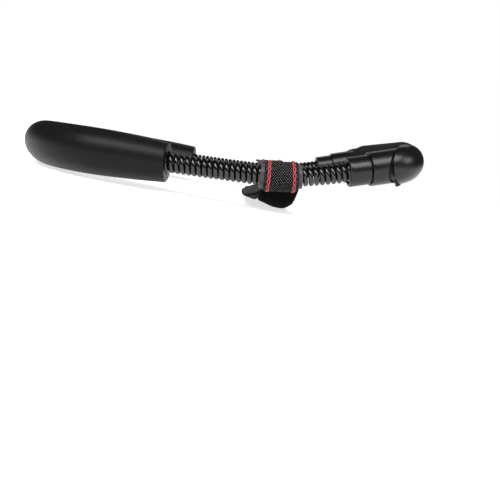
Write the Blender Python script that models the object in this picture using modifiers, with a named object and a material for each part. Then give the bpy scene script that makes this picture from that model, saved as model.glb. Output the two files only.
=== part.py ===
"""Hand and arm trainer: forearm frame, two coil springs, wrist sling and a turning cross grip.

Lengths are in metres and +Z is up. +X runs from the forearm frame to the grip, and the part is the same
on both sides of the plane Y = 0. The origin is the middle of the sling's flat underside, on which the
part lies together with the bend of its foam sleeve. The angles of the bodies are those of a slightly
bent pair of springs, as in use.
"""

import math

import bmesh
import bpy
from mathutils import Matrix, Vector

MM = 0.001

# Clearances
SEAT_GAP = 0.3 * MM
SLIP_GAP = 0.35 * MM
SPRING_PLAY = 0.7 * MM

# Sides of the part, seen along +X
SIDES = {"right": -1, "left": 1}

# Slopes of the spring axis in the upright plane, in degrees, from the forearm frame to the handle
FRAME_SLOPE = 2.78
STRAP_REAR_SLOPE = 4.45
STRAP_FRONT_SLOPE = 13.75
HANDLE_SLOPE = 19.55

# Lengths along the spring axis
REAR_SPAN = 68.5 * MM
LINER_LENGTH = 31.0 * MM
FRONT_SPAN = 34.0 * MM
SPRING_SPACING = 130.0 * MM
AXIS_HEIGHT = 28.5 * MM
PATH_STEP = 0.5 * MM

# Springs
SPRING_DIAMETER = 15.0 * MM
WIRE_DIAMETER = 3.6 * MM
COIL_PITCH = 4.1 * MM
POINTS_PER_TURN = 7

# Forearm frame
FRAME_TUBE_DIAMETER = 16.0 * MM
FRAME_TUBE_WALL = 1.5 * MM
FOAM_DIAMETER = 33.8 * MM
FOAM_END_DIAMETER = 29.4 * MM
FOAM_TAPER = 60.0 * MM
LEG_LENGTH = 50.0 * MM
LEG_STEPS = 3
BEND_STEPS = 14
SPRING_SEAT_DEPTH = 16.5 * MM
PLUG_FLANGE = 1.5 * MM
PLUG_DEPTH = 12.0 * MM
PIN_INSET = 6.0 * MM
FRAME_PIN_DIAMETER = 3.0 * MM

# Spigots inside the springs
SPIGOT_DIAMETER = 6.8 * MM
SPIGOT_RECESS = 2.0 * MM

# Sling
LINER_WALL = 1.2 * MM
KNOB_DIAMETER = 4.4 * MM
KNOB_HEIGHT = 1.7 * MM
KNOB_OVERHANG = 2.1 * MM
LOOP_LENGTH = 25.0 * MM
LOOP_WALL = 1.7 * MM
BAND_WIDTH = 30.0 * MM
BAND_THICKNESS = 2.0 * MM
BAND_FLAT = 32.0 * MM
BAND_FLAT_WIDTH = 13.0 * MM
BAND_EDGE_LIFT = 4.0 * MM
BAND_REACH = 45.0 * MM
PAD_WIDTH = 41.0 * MM
PAD_END_WIDTH = 32.0 * MM
PAD_SHIFT = -5.0 * MM
PAD_THICKNESS = 11.0 * MM
PAD_EDGE_SLOPE = 0.8
PAD_EDGE = 1.0 * MM
PAD_GAP = 0.5 * MM
PAD_SHARE = 0.86
PAD_ACROSS = (4, 0.3)
PAD_ALONG = (3, 0.2)

# Handle, measured along its axis from the ferrule's mouth
FERRULE_DIAMETER = 22.0 * MM
FERRULE_LENGTH = 16.0 * MM
FERRULE_FLOOR = 1.8 * MM
SLEEVE_DIAMETER = 25.0 * MM
SLEEVE_WALL = 1.7 * MM
CORNER_DISTANCE = 46.1 * MM
ELBOW_BEND_RADIUS = 14.8 * MM
ELBOW_TAIL = 0.6 * MM
ELBOW_STEPS = 6
CAP_DIAMETER = 28.6 * MM
CAP_CUT_DISTANCE = 40.0 * MM
CAP_CUT_ANGLE = 37.0
CAP_GAP = 3.0 * MM
CAP_GAP_FLARE = 0.16
LUG_THICKNESS = 2.4 * MM
LUG_WIDTH = 7.0 * MM
LUG_DROP = 15.6 * MM
HANDLE_SPIGOT_DIAMETER = 10.0 * MM
HANDLE_SPIGOT_DEPTH = 14.5 * MM
HANDLE_PIN_DIAMETER = 2.5 * MM
HANDLE_PIN_INSET = 7.5 * MM

# Rod, screws and grip
ROD_DIAMETER = 10.0 * MM
ROD_SEAT = 11.0 * MM
SCREW_DIAMETER = 4.0 * MM
SCREW_HEAD_DIAMETER = 7.0 * MM
SCREW_HEAD_HEIGHT = 2.9 * MM
SCREW_WALL = 3.0 * MM
SCREW_REACH = 8.5 * MM
WASHER_THICKNESS = 1.2 * MM
WASHER_DIAMETER = 24.0 * MM
GRIP_TUBE_WALL = 3.4 * MM
GRIP_DIAMETER = 32.0 * MM
GRIP_EDGE = 2.0 * MM

# Facets
TURN_STEPS = 20
SMALL_TURN_STEPS = 12
WIRE_RESOLUTION = 2
TUBE_RESOLUTION = 4
ELBOW_RESOLUTION = 6
PIPE_RESOLUTION = 7
STRAP_STEPS = 3
BAND_RISE_STEPS = 11
BAND_EDGE_STEPS = 2
PAD_CUTS = (7, 15)
SHARP_ANGLE = math.radians(35)
MERGE_DISTANCE = 0.00001
CUTTER_SIZE = 120.0 * MM
CUTTER_PAST = 2.0 * MM
BORE_REACH = 40.0 * MM

# Sizes that follow from the ones above
HALF_SPACING = SPRING_SPACING / 2
HALF_LINER = LINER_LENGTH / 2
FOAM_END = -HALF_LINER - REAR_SPAN
HANDLE_START = HALF_LINER + FRONT_SPAN
COIL_RADIUS = (SPRING_DIAMETER - WIRE_DIAMETER) / 2
SPIGOT_RADIUS = SPIGOT_DIAMETER / 2
FOAM_HOLE_RADIUS = FRAME_TUBE_DIAMETER / 2 + SLIP_GAP
FOAM_RADIUS = FOAM_DIAMETER / 2
TUBE_END = FOAM_END - SPRING_SEAT_DEPTH - PLUG_FLANGE - SEAT_GAP
LINER_HOLE_RADIUS = SPRING_DIAMETER / 2 + SLIP_GAP
LINER_RADIUS = LINER_HOLE_RADIUS + LINER_WALL
LOOP_HOLE_RADIUS = LINER_RADIUS + SLIP_GAP
LOOP_RADIUS = LOOP_HOLE_RADIUS + LOOP_WALL
SLEEVE_RADIUS = SLEEVE_DIAMETER / 2
CORNER_START = FERRULE_LENGTH + SEAT_GAP
CORE_RADIUS = SLEEVE_RADIUS - SLEEVE_WALL - SEAT_GAP
SPRING_STOP = FERRULE_LENGTH - FERRULE_FLOOR
ROD_HOLE_RADIUS = ROD_DIAMETER / 2 + SEAT_GAP
CORE_END = HALF_SPACING - ELBOW_BEND_RADIUS - ELBOW_TAIL
ROD_END = CORE_END + ROD_SEAT
GRIP_END = CORE_END - WASHER_THICKNESS - 2 * SEAT_GAP
GRIP_TUBE_RADIUS = ROD_HOLE_RADIUS + GRIP_TUBE_WALL

PARTS = "hand_and_arm_trainer"
CUTTERS = "cutters"


def clear_scene():
    """Remove every object, so that the script builds the part alone."""
    for obj in list(bpy.data.objects):
        bpy.data.objects.remove(obj, do_unlink=True)
    for name in (PARTS, CUTTERS):
        group = bpy.data.collections.get(name) or bpy.data.collections.new(name)
        if group.name not in bpy.context.scene.collection.children:
            bpy.context.scene.collection.children.link(group)


def finish(name, colour, roughness, metallic=0.0):
    """Return the named Principled material."""
    material = bpy.data.materials.get(name) or bpy.data.materials.new(name)
    material.use_nodes = True
    shader = material.node_tree.nodes["Principled BSDF"]
    shader.inputs["Base Color"].default_value = (*colour, 1.0)
    shader.inputs["Roughness"].default_value = roughness
    shader.inputs["Metallic"].default_value = metallic
    material.diffuse_color = (*colour, 1.0)
    return material


def soft_foam():
    return finish("soft_foam", (0.035, 0.036, 0.038), 0.75)


def black_spring():
    return finish("black_spring", (0.015, 0.015, 0.016), 0.25, 0.6)


def bare_steel():
    return finish("bare_steel", (0.55, 0.56, 0.58), 0.35, 1.0)


def grey_plastic():
    return finish("grey_plastic", (0.20, 0.20, 0.22), 0.5)


def black_plastic():
    return finish("black_plastic", (0.03, 0.03, 0.032), 0.3)


def woven_black():
    return finish("woven_black", (0.025, 0.025, 0.026), 0.85)


def pad_fabric():
    return finish("pad_fabric", (0.07, 0.07, 0.072), 0.8)


def slope_at(distance):
    """Slope of the spring axis in radians, at a distance along it from the middle of the strap."""
    knots = [
        (FOAM_END, FRAME_SLOPE),
        (-HALF_LINER, STRAP_REAR_SLOPE),
        (HALF_LINER, STRAP_FRONT_SLOPE),
        (HANDLE_START, HANDLE_SLOPE),
    ]
    if distance <= knots[0][0]:
        return math.radians(FRAME_SLOPE)
    for (start, low), (end, high) in zip(knots, knots[1:]):
        if distance <= end:
            share = (distance - start) / (end - start)
            return math.radians(low + (high - low) * share)
    return math.radians(HANDLE_SLOPE)


def axis_point(distance):
    """X and Z of the spring axis at a distance along it from the middle of the strap."""
    steps = max(1, math.ceil(abs(distance) / PATH_STEP))
    step = distance / steps
    x, z = 0.0, AXIS_HEIGHT
    for index in range(steps):
        slope = slope_at((index + 0.5) * step)
        x += step * math.cos(slope)
        z += step * math.sin(slope)
    return x, z


def axis_frame(distance, y=0.0):
    """Frame on the spring axis: X along it, Y across, Z square to it."""
    x, z = axis_point(distance)
    return Matrix.Translation((x, y, z)) @ Matrix.Rotation(-slope_at(distance), 4, "Y")


def leg_frame(side=0):
    """Frame at the foam's open end."""
    return axis_frame(FOAM_END, side * HALF_SPACING)


def handle_frame(side=0):
    """Frame at the ferrule's mouth."""
    return axis_frame(HANDLE_START, side * HALF_SPACING)


def half_step(steps):
    """Turn about Z by half a facet, so that no edge of a turned piece lies in the upright plane."""
    return Matrix.Rotation(math.pi / steps, 4, "Z")


def along_x():
    """Turn a piece that stands on its Z axis onto the X axis."""
    return Matrix.Rotation(math.radians(90), 4, "Y") @ half_step(TURN_STEPS)


def along_y(distance=0.0, direction=1):
    """Turn a piece that stands on its Z axis onto the Y axis, pointing to either side."""
    turn = Matrix.Rotation(math.radians(-90 * direction), 4, "X")
    return Matrix.Translation((0, distance, 0)) @ turn @ half_step(TURN_STEPS)


def across_pin(distance):
    """Place of an upright cross pin along a tube."""
    return Matrix.Translation((distance, 0, 0)) @ half_step(SMALL_TURN_STEPS)


def add_object(name, data, matrix, material, group=PARTS):
    """Put data in the scene at a world matrix, under its own material."""
    obj = bpy.data.objects.new(name, data)
    bpy.data.collections[group].objects.link(obj)
    obj.matrix_world = matrix
    if material:
        data.materials.append(material)
    return obj


def smooth(mesh):
    """Shade a mesh smooth, apart from its sharp edges."""
    mesh.shade_smooth()
    mesh.set_sharp_from_angle(angle=SHARP_ANGLE)


def turned(name, profile, matrix, material, hollow=False, steps=TURN_STEPS, group=PARTS):
    """Turn a profile of (radius, height) points about Z. It runs down the outer side."""
    mesh = bpy.data.meshes.new(name)
    points = [(radius, 0.0, height) for radius, height in profile]
    edges = [(index, index + 1) for index in range(len(points) - 1)]
    if hollow:
        edges.append((len(points) - 1, 0))
    mesh.from_pydata(points, edges, [])
    obj = add_object(name, mesh, matrix, material, group)
    screw = obj.modifiers.new("turn", "SCREW")
    screw.steps = steps
    screw.render_steps = steps
    screw.use_merge_vertices = True
    screw.merge_threshold = MERGE_DISTANCE
    screw.use_smooth_shade = True
    return obj


def ring(outer, inner, start, end):
    """Closed profile of a plain ring."""
    return [(outer, end), (outer, start), (inner, start), (inner, end)]


def rod(radius, start, end):
    """Open profile of a plain rod."""
    return [(0, end), (radius, end), (radius, start), (0, start)]


def sweep(name, points, radius, resolution, caps, scales=None):
    """Round bar or open tube along points, as a mesh in world space, with a scale for each point or none."""
    curve = bpy.data.curves.new(name, "CURVE")
    curve.dimensions = "3D"
    curve.bevel_depth = radius
    curve.bevel_resolution = resolution
    curve.use_fill_caps = caps
    spline = curve.splines.new("POLY")
    spline.points.add(len(points) - 1)
    for knot, point, scale in zip(spline.points, points, scales or [1] * len(points)):
        knot.co = (*point, 1.0)
        knot.radius = scale
    guide = bpy.data.objects.new(name + "_path", curve)
    bpy.context.scene.collection.objects.link(guide)
    bpy.context.view_layer.update()
    evaluated = guide.evaluated_get(bpy.context.evaluated_depsgraph_get())
    mesh = bpy.data.meshes.new_from_object(evaluated)
    mesh.transform(guide.matrix_world)
    bpy.data.objects.remove(guide, do_unlink=True)
    work = bmesh.new()
    work.from_mesh(mesh)
    bmesh.ops.remove_doubles(work, verts=work.verts, dist=MERGE_DISTANCE)
    bmesh.ops.recalc_face_normals(work, faces=work.faces)
    work.to_mesh(mesh)
    work.free()
    mesh.name = name
    mesh.materials.clear()
    smooth(mesh)
    return mesh


def bar(name, points, radius, material, resolution=WIRE_RESOLUTION, group=PARTS):
    """Solid round bar along world points."""
    return add_object(name, sweep(name, points, radius, resolution, True), Matrix(), material, group)


def pipe(name, points, outer, wall, material, resolution=PIPE_RESOLUTION):
    """Round pipe along world points, open at both ends."""
    obj = add_object(name, sweep(name, points, outer, resolution, False), Matrix(), material)
    skin = obj.modifiers.new("wall", "SOLIDIFY")
    skin.thickness = wall
    skin.offset = -1
    skin.use_even_offset = True
    return obj


def sleeve(name, points, radii, hole_radius, material):
    """Round sleeve with a plain hole along world points, and an outer radius for each point."""
    outer = sweep(name, points, radii[0], PIPE_RESOLUTION, False, [radius / radii[0] for radius in radii])
    inner = sweep(name + "_hole", points, hole_radius, PIPE_RESOLUTION, False)
    work = bmesh.new()
    work.from_mesh(outer)
    work.from_mesh(inner)
    bpy.data.meshes.remove(inner)
    work.verts.index_update()
    work.verts.ensure_lookup_table()
    half = len(work.verts) // 2
    rims = [edge for edge in work.edges if edge.is_boundary and edge.verts[0].index < half]
    for first, second in [[vert.index for vert in edge.verts] for edge in rims]:
        work.faces.new([work.verts[index] for index in (first, second, second + half, first + half)])
    bmesh.ops.recalc_face_normals(work, faces=work.faces)
    work.to_mesh(outer)
    work.free()
    smooth(outer)
    return add_object(name, outer, Matrix(), material)


def cut(obj, cutter, operation="DIFFERENCE"):
    """Cut an object by a cutter, or join the two."""
    boolean = obj.modifiers.new(cutter.name, "BOOLEAN")
    boolean.operation = operation
    boolean.solver = "EXACT"
    boolean.object = cutter
    cutter.hide_render = True
    cutter.display_type = "WIRE"


def weld(obj):
    """Merge the points that a cut leaves on top of each other."""
    joined = obj.modifiers.new("weld", "WELD")
    joined.merge_threshold = MERGE_DISTANCE


def block(name, size, matrix, group=CUTTERS):
    """Box of a size, centred on a matrix."""
    mesh = bpy.data.meshes.new(name)
    work = bmesh.new()
    bmesh.ops.create_cube(work, size=1.0, matrix=Matrix.Diagonal((*size, 1.0)))
    work.to_mesh(mesh)
    work.free()
    return add_object(name, mesh, matrix, None, group)


def frame_path(start, leg_steps=1):
    """Points of the U in world space, from one leg round the bend to the other."""
    leg = leg_frame()
    along = [start + (-LEG_LENGTH - start) * index / leg_steps for index in range(leg_steps)]
    points = [(x, -HALF_SPACING) for x in along]
    for index in range(BEND_STEPS + 1):
        turn = math.pi * index / BEND_STEPS
        points.append((-LEG_LENGTH - HALF_SPACING * math.sin(turn), -HALF_SPACING * math.cos(turn)))
    points += [(x, HALF_SPACING) for x in reversed(along)]
    return [leg @ Vector((x, y, 0)) for x, y in points]


def foam_radius(distance):
    """Outer radius of the foam at a distance from its open end."""
    left = max(0.0, 1 - distance / FOAM_TAPER)
    return FOAM_RADIUS - (FOAM_DIAMETER - FOAM_END_DIAMETER) / 2 * left * left


def build_foam():
    """Foam sleeve, thinner towards its open ends."""
    points = frame_path(0, LEG_STEPS)
    run = [0.0]
    for start, end in zip(points, points[1:]):
        run.append(run[-1] + (end - start).length)
    radii = [foam_radius(min(distance, run[-1] - distance)) for distance in run]
    return sleeve("foam_sleeve", points, radii, FOAM_HOLE_RADIUS, soft_foam())


def build_forearm_frame():
    """Foam sleeve, bent tube, and the plugs and pins in the tube's ends."""
    tube_start = TUBE_END - FOAM_END
    tube_radius = FRAME_TUBE_DIAMETER / 2
    tube = pipe("frame_tube", frame_path(tube_start), tube_radius, FRAME_TUBE_WALL, bare_steel(), TUBE_RESOLUTION)
    pieces = [build_foam(), tube]
    flange_end = tube_start + SEAT_GAP + PLUG_FLANGE
    for label, side in SIDES.items():
        place = leg_frame(side)
        shank = tube_radius - FRAME_TUBE_WALL - SEAT_GAP
        profile = [
            (0, -SPIGOT_RECESS),
            (SPIGOT_RADIUS, -SPIGOT_RECESS),
            (SPIGOT_RADIUS, flange_end),
            (tube_radius, flange_end),
            (tube_radius, tube_start + SEAT_GAP),
            (shank, tube_start + SEAT_GAP),
            (shank, tube_start - PLUG_DEPTH),
            (0, tube_start - PLUG_DEPTH),
        ]
        plug = turned(f"frame_plug_{label}", profile, place @ along_x(), bare_steel())
        pin_place = place @ across_pin(tube_start - PIN_INSET)
        pin = rod(FRAME_PIN_DIAMETER / 2, -tube_radius, tube_radius)
        pieces.append(turned(f"frame_pin_{label}", pin, pin_place, bare_steel(), steps=SMALL_TURN_STEPS))
        hole = rod(FRAME_PIN_DIAMETER / 2 + SEAT_GAP, -BORE_REACH, BORE_REACH)
        cutter = turned(f"frame_pin_hole_{label}", hole, pin_place, None, steps=SMALL_TURN_STEPS, group=CUTTERS)
        cut(tube, cutter)
        cut(plug, cutter)
        pieces.append(plug)
    return pieces


def coil_points(side):
    """Centre line of a spring's wire, from the frame's plug to the ferrule's floor."""
    start = FOAM_END - SPRING_SEAT_DEPTH + SEAT_GAP + WIRE_DIAMETER / 2
    end = HANDLE_START + SPRING_STOP - SEAT_GAP - WIRE_DIAMETER / 2
    count = round((end - start) / COIL_PITCH * POINTS_PER_TURN)
    points = []
    for index in range(count + 1):
        turn = 2 * math.pi * index / POINTS_PER_TURN
        place = axis_frame(start + (end - start) * index / count, side * HALF_SPACING)
        points.append(place @ Vector((0, -COIL_RADIUS * math.sin(turn), COIL_RADIUS * math.cos(turn))))
    return points


def strap_path(length, side):
    """Points of the spring axis under the strap, over a length about its middle."""
    shares = [index / STRAP_STEPS - 0.5 for index in range(STRAP_STEPS + 1)]
    return [axis_frame(share * length, side * HALF_SPACING).translation for share in shares]


def sling_run():
    """Points of the left half of the band's middle line, and the share of it that lies flat."""
    middle = BAND_THICKNESS / 2
    first, knee = Vector((BAND_FLAT / 2, middle)), Vector((BAND_REACH, middle))
    to_loop = Vector((BAND_REACH - HALF_SPACING, middle - AXIS_HEIGHT)).normalized()
    end = Vector((HALF_SPACING, AXIS_HEIGHT)) + to_loop * (LOOP_RADIUS + SEAT_GAP)
    return first, knee, end, first.x / (first.x + (end - first).length)


def sling_point(share):
    """Y, Z, upward normal and end weight of the band's middle surface, from right (-1) to left (1)."""
    side = -1 if share < 0 else 1
    first, knee, end, flat_share = sling_run()
    if abs(share) <= flat_share:
        return side * first.x * abs(share) / flat_share, first.y, Vector((0, 0, 1)), 0.0
    turn = (abs(share) - flat_share) / (1 - flat_share)
    point = first * (1 - turn) ** 2 + knee * (2 * turn * (1 - turn)) + end * turn ** 2
    run = (knee - first) * (1 - turn) + (end - knee) * turn
    normal = Vector((0, -side * run.y, run.x)).normalized()
    return side * point.x, point.y, normal, turn * turn * (3 - 2 * turn)


def edge_lift(x):
    """Height of the sling at a distance from its middle line, over its flat."""
    flat, edge = BAND_FLAT_WIDTH / 2, BAND_WIDTH / 2
    curl = BAND_EDGE_LIFT * (max(0.0, min(abs(x), edge) - flat) / (edge - flat)) ** 2
    return curl + PAD_EDGE_SLOPE * max(0.0, abs(x) - edge)


def sling_place(x, share, height):
    """World point at a distance across the band, a share of its run and a height above its middle."""
    y, z, normal, weight = sling_point(share)
    slope = (STRAP_REAR_SLOPE + STRAP_FRONT_SLOPE) / 2
    rise = weight * x * math.tan(math.radians(slope))
    return Vector((x, y, z + rise)) + normal * (height + (1 - weight) * edge_lift(x))


def rounded(share, power, least):
    """Fall from 1 in the middle to a least value at the edges."""
    return least + (1 - least) * math.sqrt(max(0.0, 1 - abs(share) ** power))


def build_band():
    """Flat band under the wrist, from loop to loop."""
    mesh = bpy.data.meshes.new("sling_band")
    work = bmesh.new()
    flat_share = sling_run()[-1]
    rise = [flat_share + (1 - flat_share) * step / BAND_RISE_STEPS for step in range(BAND_RISE_STEPS + 1)]
    shares = [-share for share in reversed(rise)] + rise
    flat, edge = BAND_FLAT_WIDTH / 2, BAND_WIDTH / 2
    side = [flat + (edge - flat) * step / BAND_EDGE_STEPS for step in range(BAND_EDGE_STEPS + 1)]
    across = [-x for x in reversed(side)] + side
    bmesh.ops.create_grid(work, x_segments=len(across) - 1, y_segments=len(shares) - 1, size=1.0)
    for vertex in work.verts:
        column = round((vertex.co.x + 1) / 2 * (len(across) - 1))
        row = round((vertex.co.y + 1) / 2 * (len(shares) - 1))
        vertex.co = sling_place(across[column], shares[row], 0.0)
    work.to_mesh(mesh)
    work.free()
    smooth(mesh)
    band = add_object("sling_band", mesh, Matrix(), woven_black())
    skin = band.modifiers.new("thickness", "SOLIDIFY")
    skin.thickness = BAND_THICKNESS
    skin.offset = 0
    skin.use_even_offset = True
    return band


def pad_point(across, along, through):
    """World point of the cushion for a point of the cube from -1 to 1."""
    half_width = PAD_WIDTH / 2 + (PAD_END_WIDTH - PAD_WIDTH) / 2 * along ** 2
    x = PAD_SHIFT + across * half_width
    thickness = (PAD_THICKNESS * rounded(along, *PAD_ALONG) - edge_lift(x)) * rounded(across, *PAD_ACROSS)
    base = BAND_THICKNESS / 2 + PAD_GAP
    return sling_place(x, along * PAD_SHARE, base + max(PAD_EDGE, thickness) * (through + 1) / 2)


def build_pad():
    """Soft cushion that lies on the band under the wrist."""
    mesh = bpy.data.meshes.new("wrist_pad")
    work = bmesh.new()
    bmesh.ops.create_cube(work, size=2.0)
    for axis, cuts in enumerate(PAD_CUTS):
        edges = [edge for edge in work.edges if abs(edge.verts[0].co[axis] - edge.verts[1].co[axis]) > 1]
        bmesh.ops.subdivide_edges(work, edges=edges, cuts=cuts, use_grid_fill=True)
    for vertex in work.verts:
        vertex.co = pad_point(*vertex.co)
    work.to_mesh(mesh)
    work.free()
    smooth(mesh)
    return add_object("wrist_pad", mesh, Matrix(), pad_fabric())


def liner_knob(label, side):
    """Round stop on top of a collar's rear end."""
    place = axis_frame(-HALF_LINER + KNOB_DIAMETER / 2 - KNOB_OVERHANG, side * HALF_SPACING)
    radius = KNOB_DIAMETER / 2
    top = LINER_RADIUS + KNOB_HEIGHT
    foot = LINER_RADIUS - LINER_WALL / 2
    shoulder = LINER_RADIUS + KNOB_HEIGHT / 2
    profile = [(0, top), (radius / 2, top), (radius, shoulder), (radius, foot), (0, foot)]
    return turned(f"liner_knob_{label}", profile, place, None, steps=SMALL_TURN_STEPS, group=CUTTERS)


def build_sling():
    """Springs with their collars, the webbing loops, the band and the cushion."""
    pieces = [build_band(), build_pad()]
    for label, side in SIDES.items():
        pieces.append(bar(f"spring_{label}", coil_points(side), WIRE_DIAMETER / 2, black_spring()))
        route = strap_path(LINER_LENGTH, side)
        liner = pipe(f"spring_liner_{label}", route, LINER_RADIUS, LINER_WALL, grey_plastic())
        cut(liner, liner_knob(label, side), "UNION")
        pieces.append(liner)
        route = strap_path(LOOP_LENGTH, side)
        pieces.append(pipe(f"webbing_loop_{label}", route, LOOP_RADIUS, LOOP_WALL, woven_black()))
    return pieces


def elbow_path(side, start, tail=ELBOW_TAIL):
    """Points of a corner's middle line in world space, from the handle axis round to the rod's axis."""
    place = handle_frame(side)
    bend = CORNER_DISTANCE - ELBOW_BEND_RADIUS
    points = [(start, 0.0)]
    for index in range(ELBOW_STEPS + 1):
        turn = math.pi / 2 * index / ELBOW_STEPS
        inward = ELBOW_BEND_RADIUS * (1 - math.cos(turn))
        points.append((bend + ELBOW_BEND_RADIUS * math.sin(turn), -side * inward))
    points.append((CORNER_DISTANCE, -side * (ELBOW_BEND_RADIUS + tail)))
    return [place @ Vector((x, y, 0)) for x, y in points]


def cap_plane(side, offset=0.0, flare=0.0):
    """Frame on the cap's cut: its X axis points to the outer corner, square to the cut."""
    angle = math.radians(CAP_CUT_ANGLE)
    normal = Vector((math.cos(angle), side * math.sin(angle), -flare)).normalized()
    across = Vector((0, 0, 1)).cross(normal).normalized()
    turn = Matrix((normal, across, normal.cross(across))).transposed().to_4x4()
    middle = Vector((CAP_CUT_DISTANCE, 0, 0)) + normal * offset
    return handle_frame(side) @ Matrix.Translation(middle) @ turn


def half_space(name, plane, towards):
    """Large block on one side of a plane's frame."""
    shift = Matrix.Translation((towards * CUTTER_SIZE / 2, 0, 0))
    return block(name, (CUTTER_SIZE, CUTTER_SIZE, CUTTER_SIZE), plane @ shift)


def rod_stack(side):
    """Cutter profile from the washer outwards: rod hole, screw hole, then room for the head."""
    wall_start = ROD_SEAT + SEAT_GAP
    head_start = wall_start + SCREW_WALL
    hole = SCREW_DIAMETER / 2 + SEAT_GAP
    head = SCREW_HEAD_DIAMETER / 2 + SEAT_GAP
    profile = [
        (0, BORE_REACH),
        (head, BORE_REACH),
        (head, head_start),
        (hole, head_start),
        (hole, wall_start),
        (ROD_HOLE_RADIUS, wall_start),
        (ROD_HOLE_RADIUS, -CUTTER_PAST),
        (0, -CUTTER_PAST),
    ]
    place = handle_frame() @ Matrix.Translation((CORNER_DISTANCE, 0, 0)) @ along_y(side * CORE_END, side)
    return profile, place


def build_corner(label, side):
    """One corner body with its socket sleeve, cap, spigot, pin and rod screw."""
    place = handle_frame(side)
    core = bar(f"elbow_core_{label}", elbow_path(side, CORNER_START), CORE_RADIUS, black_plastic(), ELBOW_RESOLUTION)
    lug_place = cap_plane(side, -CAP_GAP)
    lug_top = CORE_RADIUS / 2
    lug_shift = Matrix.Translation((0, 0, -(LUG_DROP + lug_top) / 2))
    lug = block(f"corner_lug_{label}", (LUG_THICKNESS, LUG_WIDTH, LUG_DROP - lug_top), lug_place @ lug_shift)
    cut(core, lug, "UNION")
    profile, stack_place = rod_stack(side)
    cut(core, turned(f"rod_hole_{label}", profile, stack_place, None, group=CUTTERS))
    spigot_end = CORNER_START + HANDLE_SPIGOT_DEPTH
    thick = HANDLE_SPIGOT_DIAMETER / 2
    bore = rod(thick + SEAT_GAP, CORNER_START - CUTTER_PAST, spigot_end + SEAT_GAP)
    cut(core, turned(f"spigot_hole_{label}", bore, place @ along_x(), None, group=CUTTERS))
    profile = [
        (0, spigot_end),
        (thick, spigot_end),
        (thick, CORNER_START),
        (SPIGOT_RADIUS, CORNER_START),
        (SPIGOT_RADIUS, SPIGOT_RECESS),
        (0, SPIGOT_RECESS),
    ]
    spigot = turned(f"handle_spigot_{label}", profile, place @ along_x(), bare_steel())
    pin_place = place @ across_pin(CORNER_START + HANDLE_PIN_INSET)
    pin_reach = CORE_RADIUS - SEAT_GAP
    pin_profile = rod(HANDLE_PIN_DIAMETER / 2, -pin_reach, pin_reach)
    pin = turned(f"handle_pin_{label}", pin_profile, pin_place, bare_steel(), steps=SMALL_TURN_STEPS)
    hole = rod(HANDLE_PIN_DIAMETER / 2 + SEAT_GAP, -BORE_REACH, BORE_REACH)
    cutter = turned(f"handle_pin_hole_{label}", hole, pin_place, None, steps=SMALL_TURN_STEPS, group=CUTTERS)
    cut(core, cutter)
    cut(spigot, cutter)
    weld(core)

    hollow_path = elbow_path(side, CORNER_START - CUTTER_PAST, ELBOW_TAIL + CUTTER_PAST)
    shape = sweep(f"corner_hollow_{label}", hollow_path, CORE_RADIUS + SEAT_GAP, ELBOW_RESOLUTION, True)
    hollow = add_object(f"corner_hollow_{label}", shape, Matrix(), None, CUTTERS)
    route = elbow_path(side, CORNER_START)
    sleeve = bar(f"socket_sleeve_{label}", route, SLEEVE_RADIUS, black_plastic(), ELBOW_RESOLUTION)
    sleeve_plane = cap_plane(side, -CAP_GAP, CAP_GAP_FLARE)
    cut(sleeve, half_space(f"sleeve_cut_{label}", sleeve_plane, 1))
    cut(sleeve, hollow)
    weld(sleeve)

    cap = bar(f"corner_cap_{label}", route, CAP_DIAMETER / 2, black_plastic(), ELBOW_RESOLUTION)
    cut(cap, half_space(f"cap_cut_{label}", cap_plane(side), -1))
    cut(cap, hollow)
    weld(cap)

    screw_radius = SCREW_DIAMETER / 2
    head_seat = ROD_SEAT + SEAT_GAP + SCREW_WALL + SEAT_GAP
    head = SCREW_HEAD_DIAMETER / 2
    profile = [
        (0, head_seat + SCREW_HEAD_HEIGHT),
        (head, head_seat + SCREW_HEAD_HEIGHT),
        (head, head_seat),
        (screw_radius, head_seat),
        (screw_radius, ROD_SEAT - SCREW_REACH),
        (0, ROD_SEAT - SCREW_REACH),
    ]
    screw = turned(f"rod_screw_{label}", profile, stack_place, bare_steel(), steps=SMALL_TURN_STEPS)
    return [core, spigot, pin, sleeve, cap, screw]


def build_ferrule(label, side):
    """Small sleeve that takes the front end of a spring."""
    outer = FERRULE_DIAMETER / 2
    inner = SPRING_DIAMETER / 2 + SPRING_PLAY
    hole = SPIGOT_RADIUS + SEAT_GAP
    profile = [
        (outer, FERRULE_LENGTH),
        (outer, 0),
        (inner, 0),
        (inner, SPRING_STOP),
        (hole, SPRING_STOP),
        (hole, FERRULE_LENGTH),
    ]
    place = handle_frame(side) @ along_x()
    return turned(f"spring_ferrule_{label}", profile, place, black_plastic(), hollow=True)


def build_handle():
    """Everything that turns with the springs' front ends, apart from the grip."""
    pieces = []
    for label, side in SIDES.items():
        pieces.append(build_ferrule(label, side))
        pieces += build_corner(label, side)
        washer = ring(WASHER_DIAMETER / 2, ROD_HOLE_RADIUS, -WASHER_THICKNESS - SEAT_GAP, -SEAT_GAP)
        place = rod_stack(side)[1]
        pieces.append(turned(f"thrust_washer_{label}", washer, place, grey_plastic(), hollow=True))
    thread = SCREW_DIAMETER / 2 + SEAT_GAP
    bottom = ROD_END - SCREW_REACH - SEAT_GAP
    profile = [
        (0, bottom),
        (thread, bottom),
        (thread, ROD_END),
        (ROD_DIAMETER / 2, ROD_END),
        (ROD_DIAMETER / 2, -ROD_END),
        (thread, -ROD_END),
        (thread, -bottom),
        (0, -bottom),
    ]
    place = handle_frame() @ Matrix.Translation((CORNER_DISTANCE, 0, 0)) @ along_y()
    pieces.append(turned("handle_rod", profile, place, bare_steel()))
    return pieces


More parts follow.
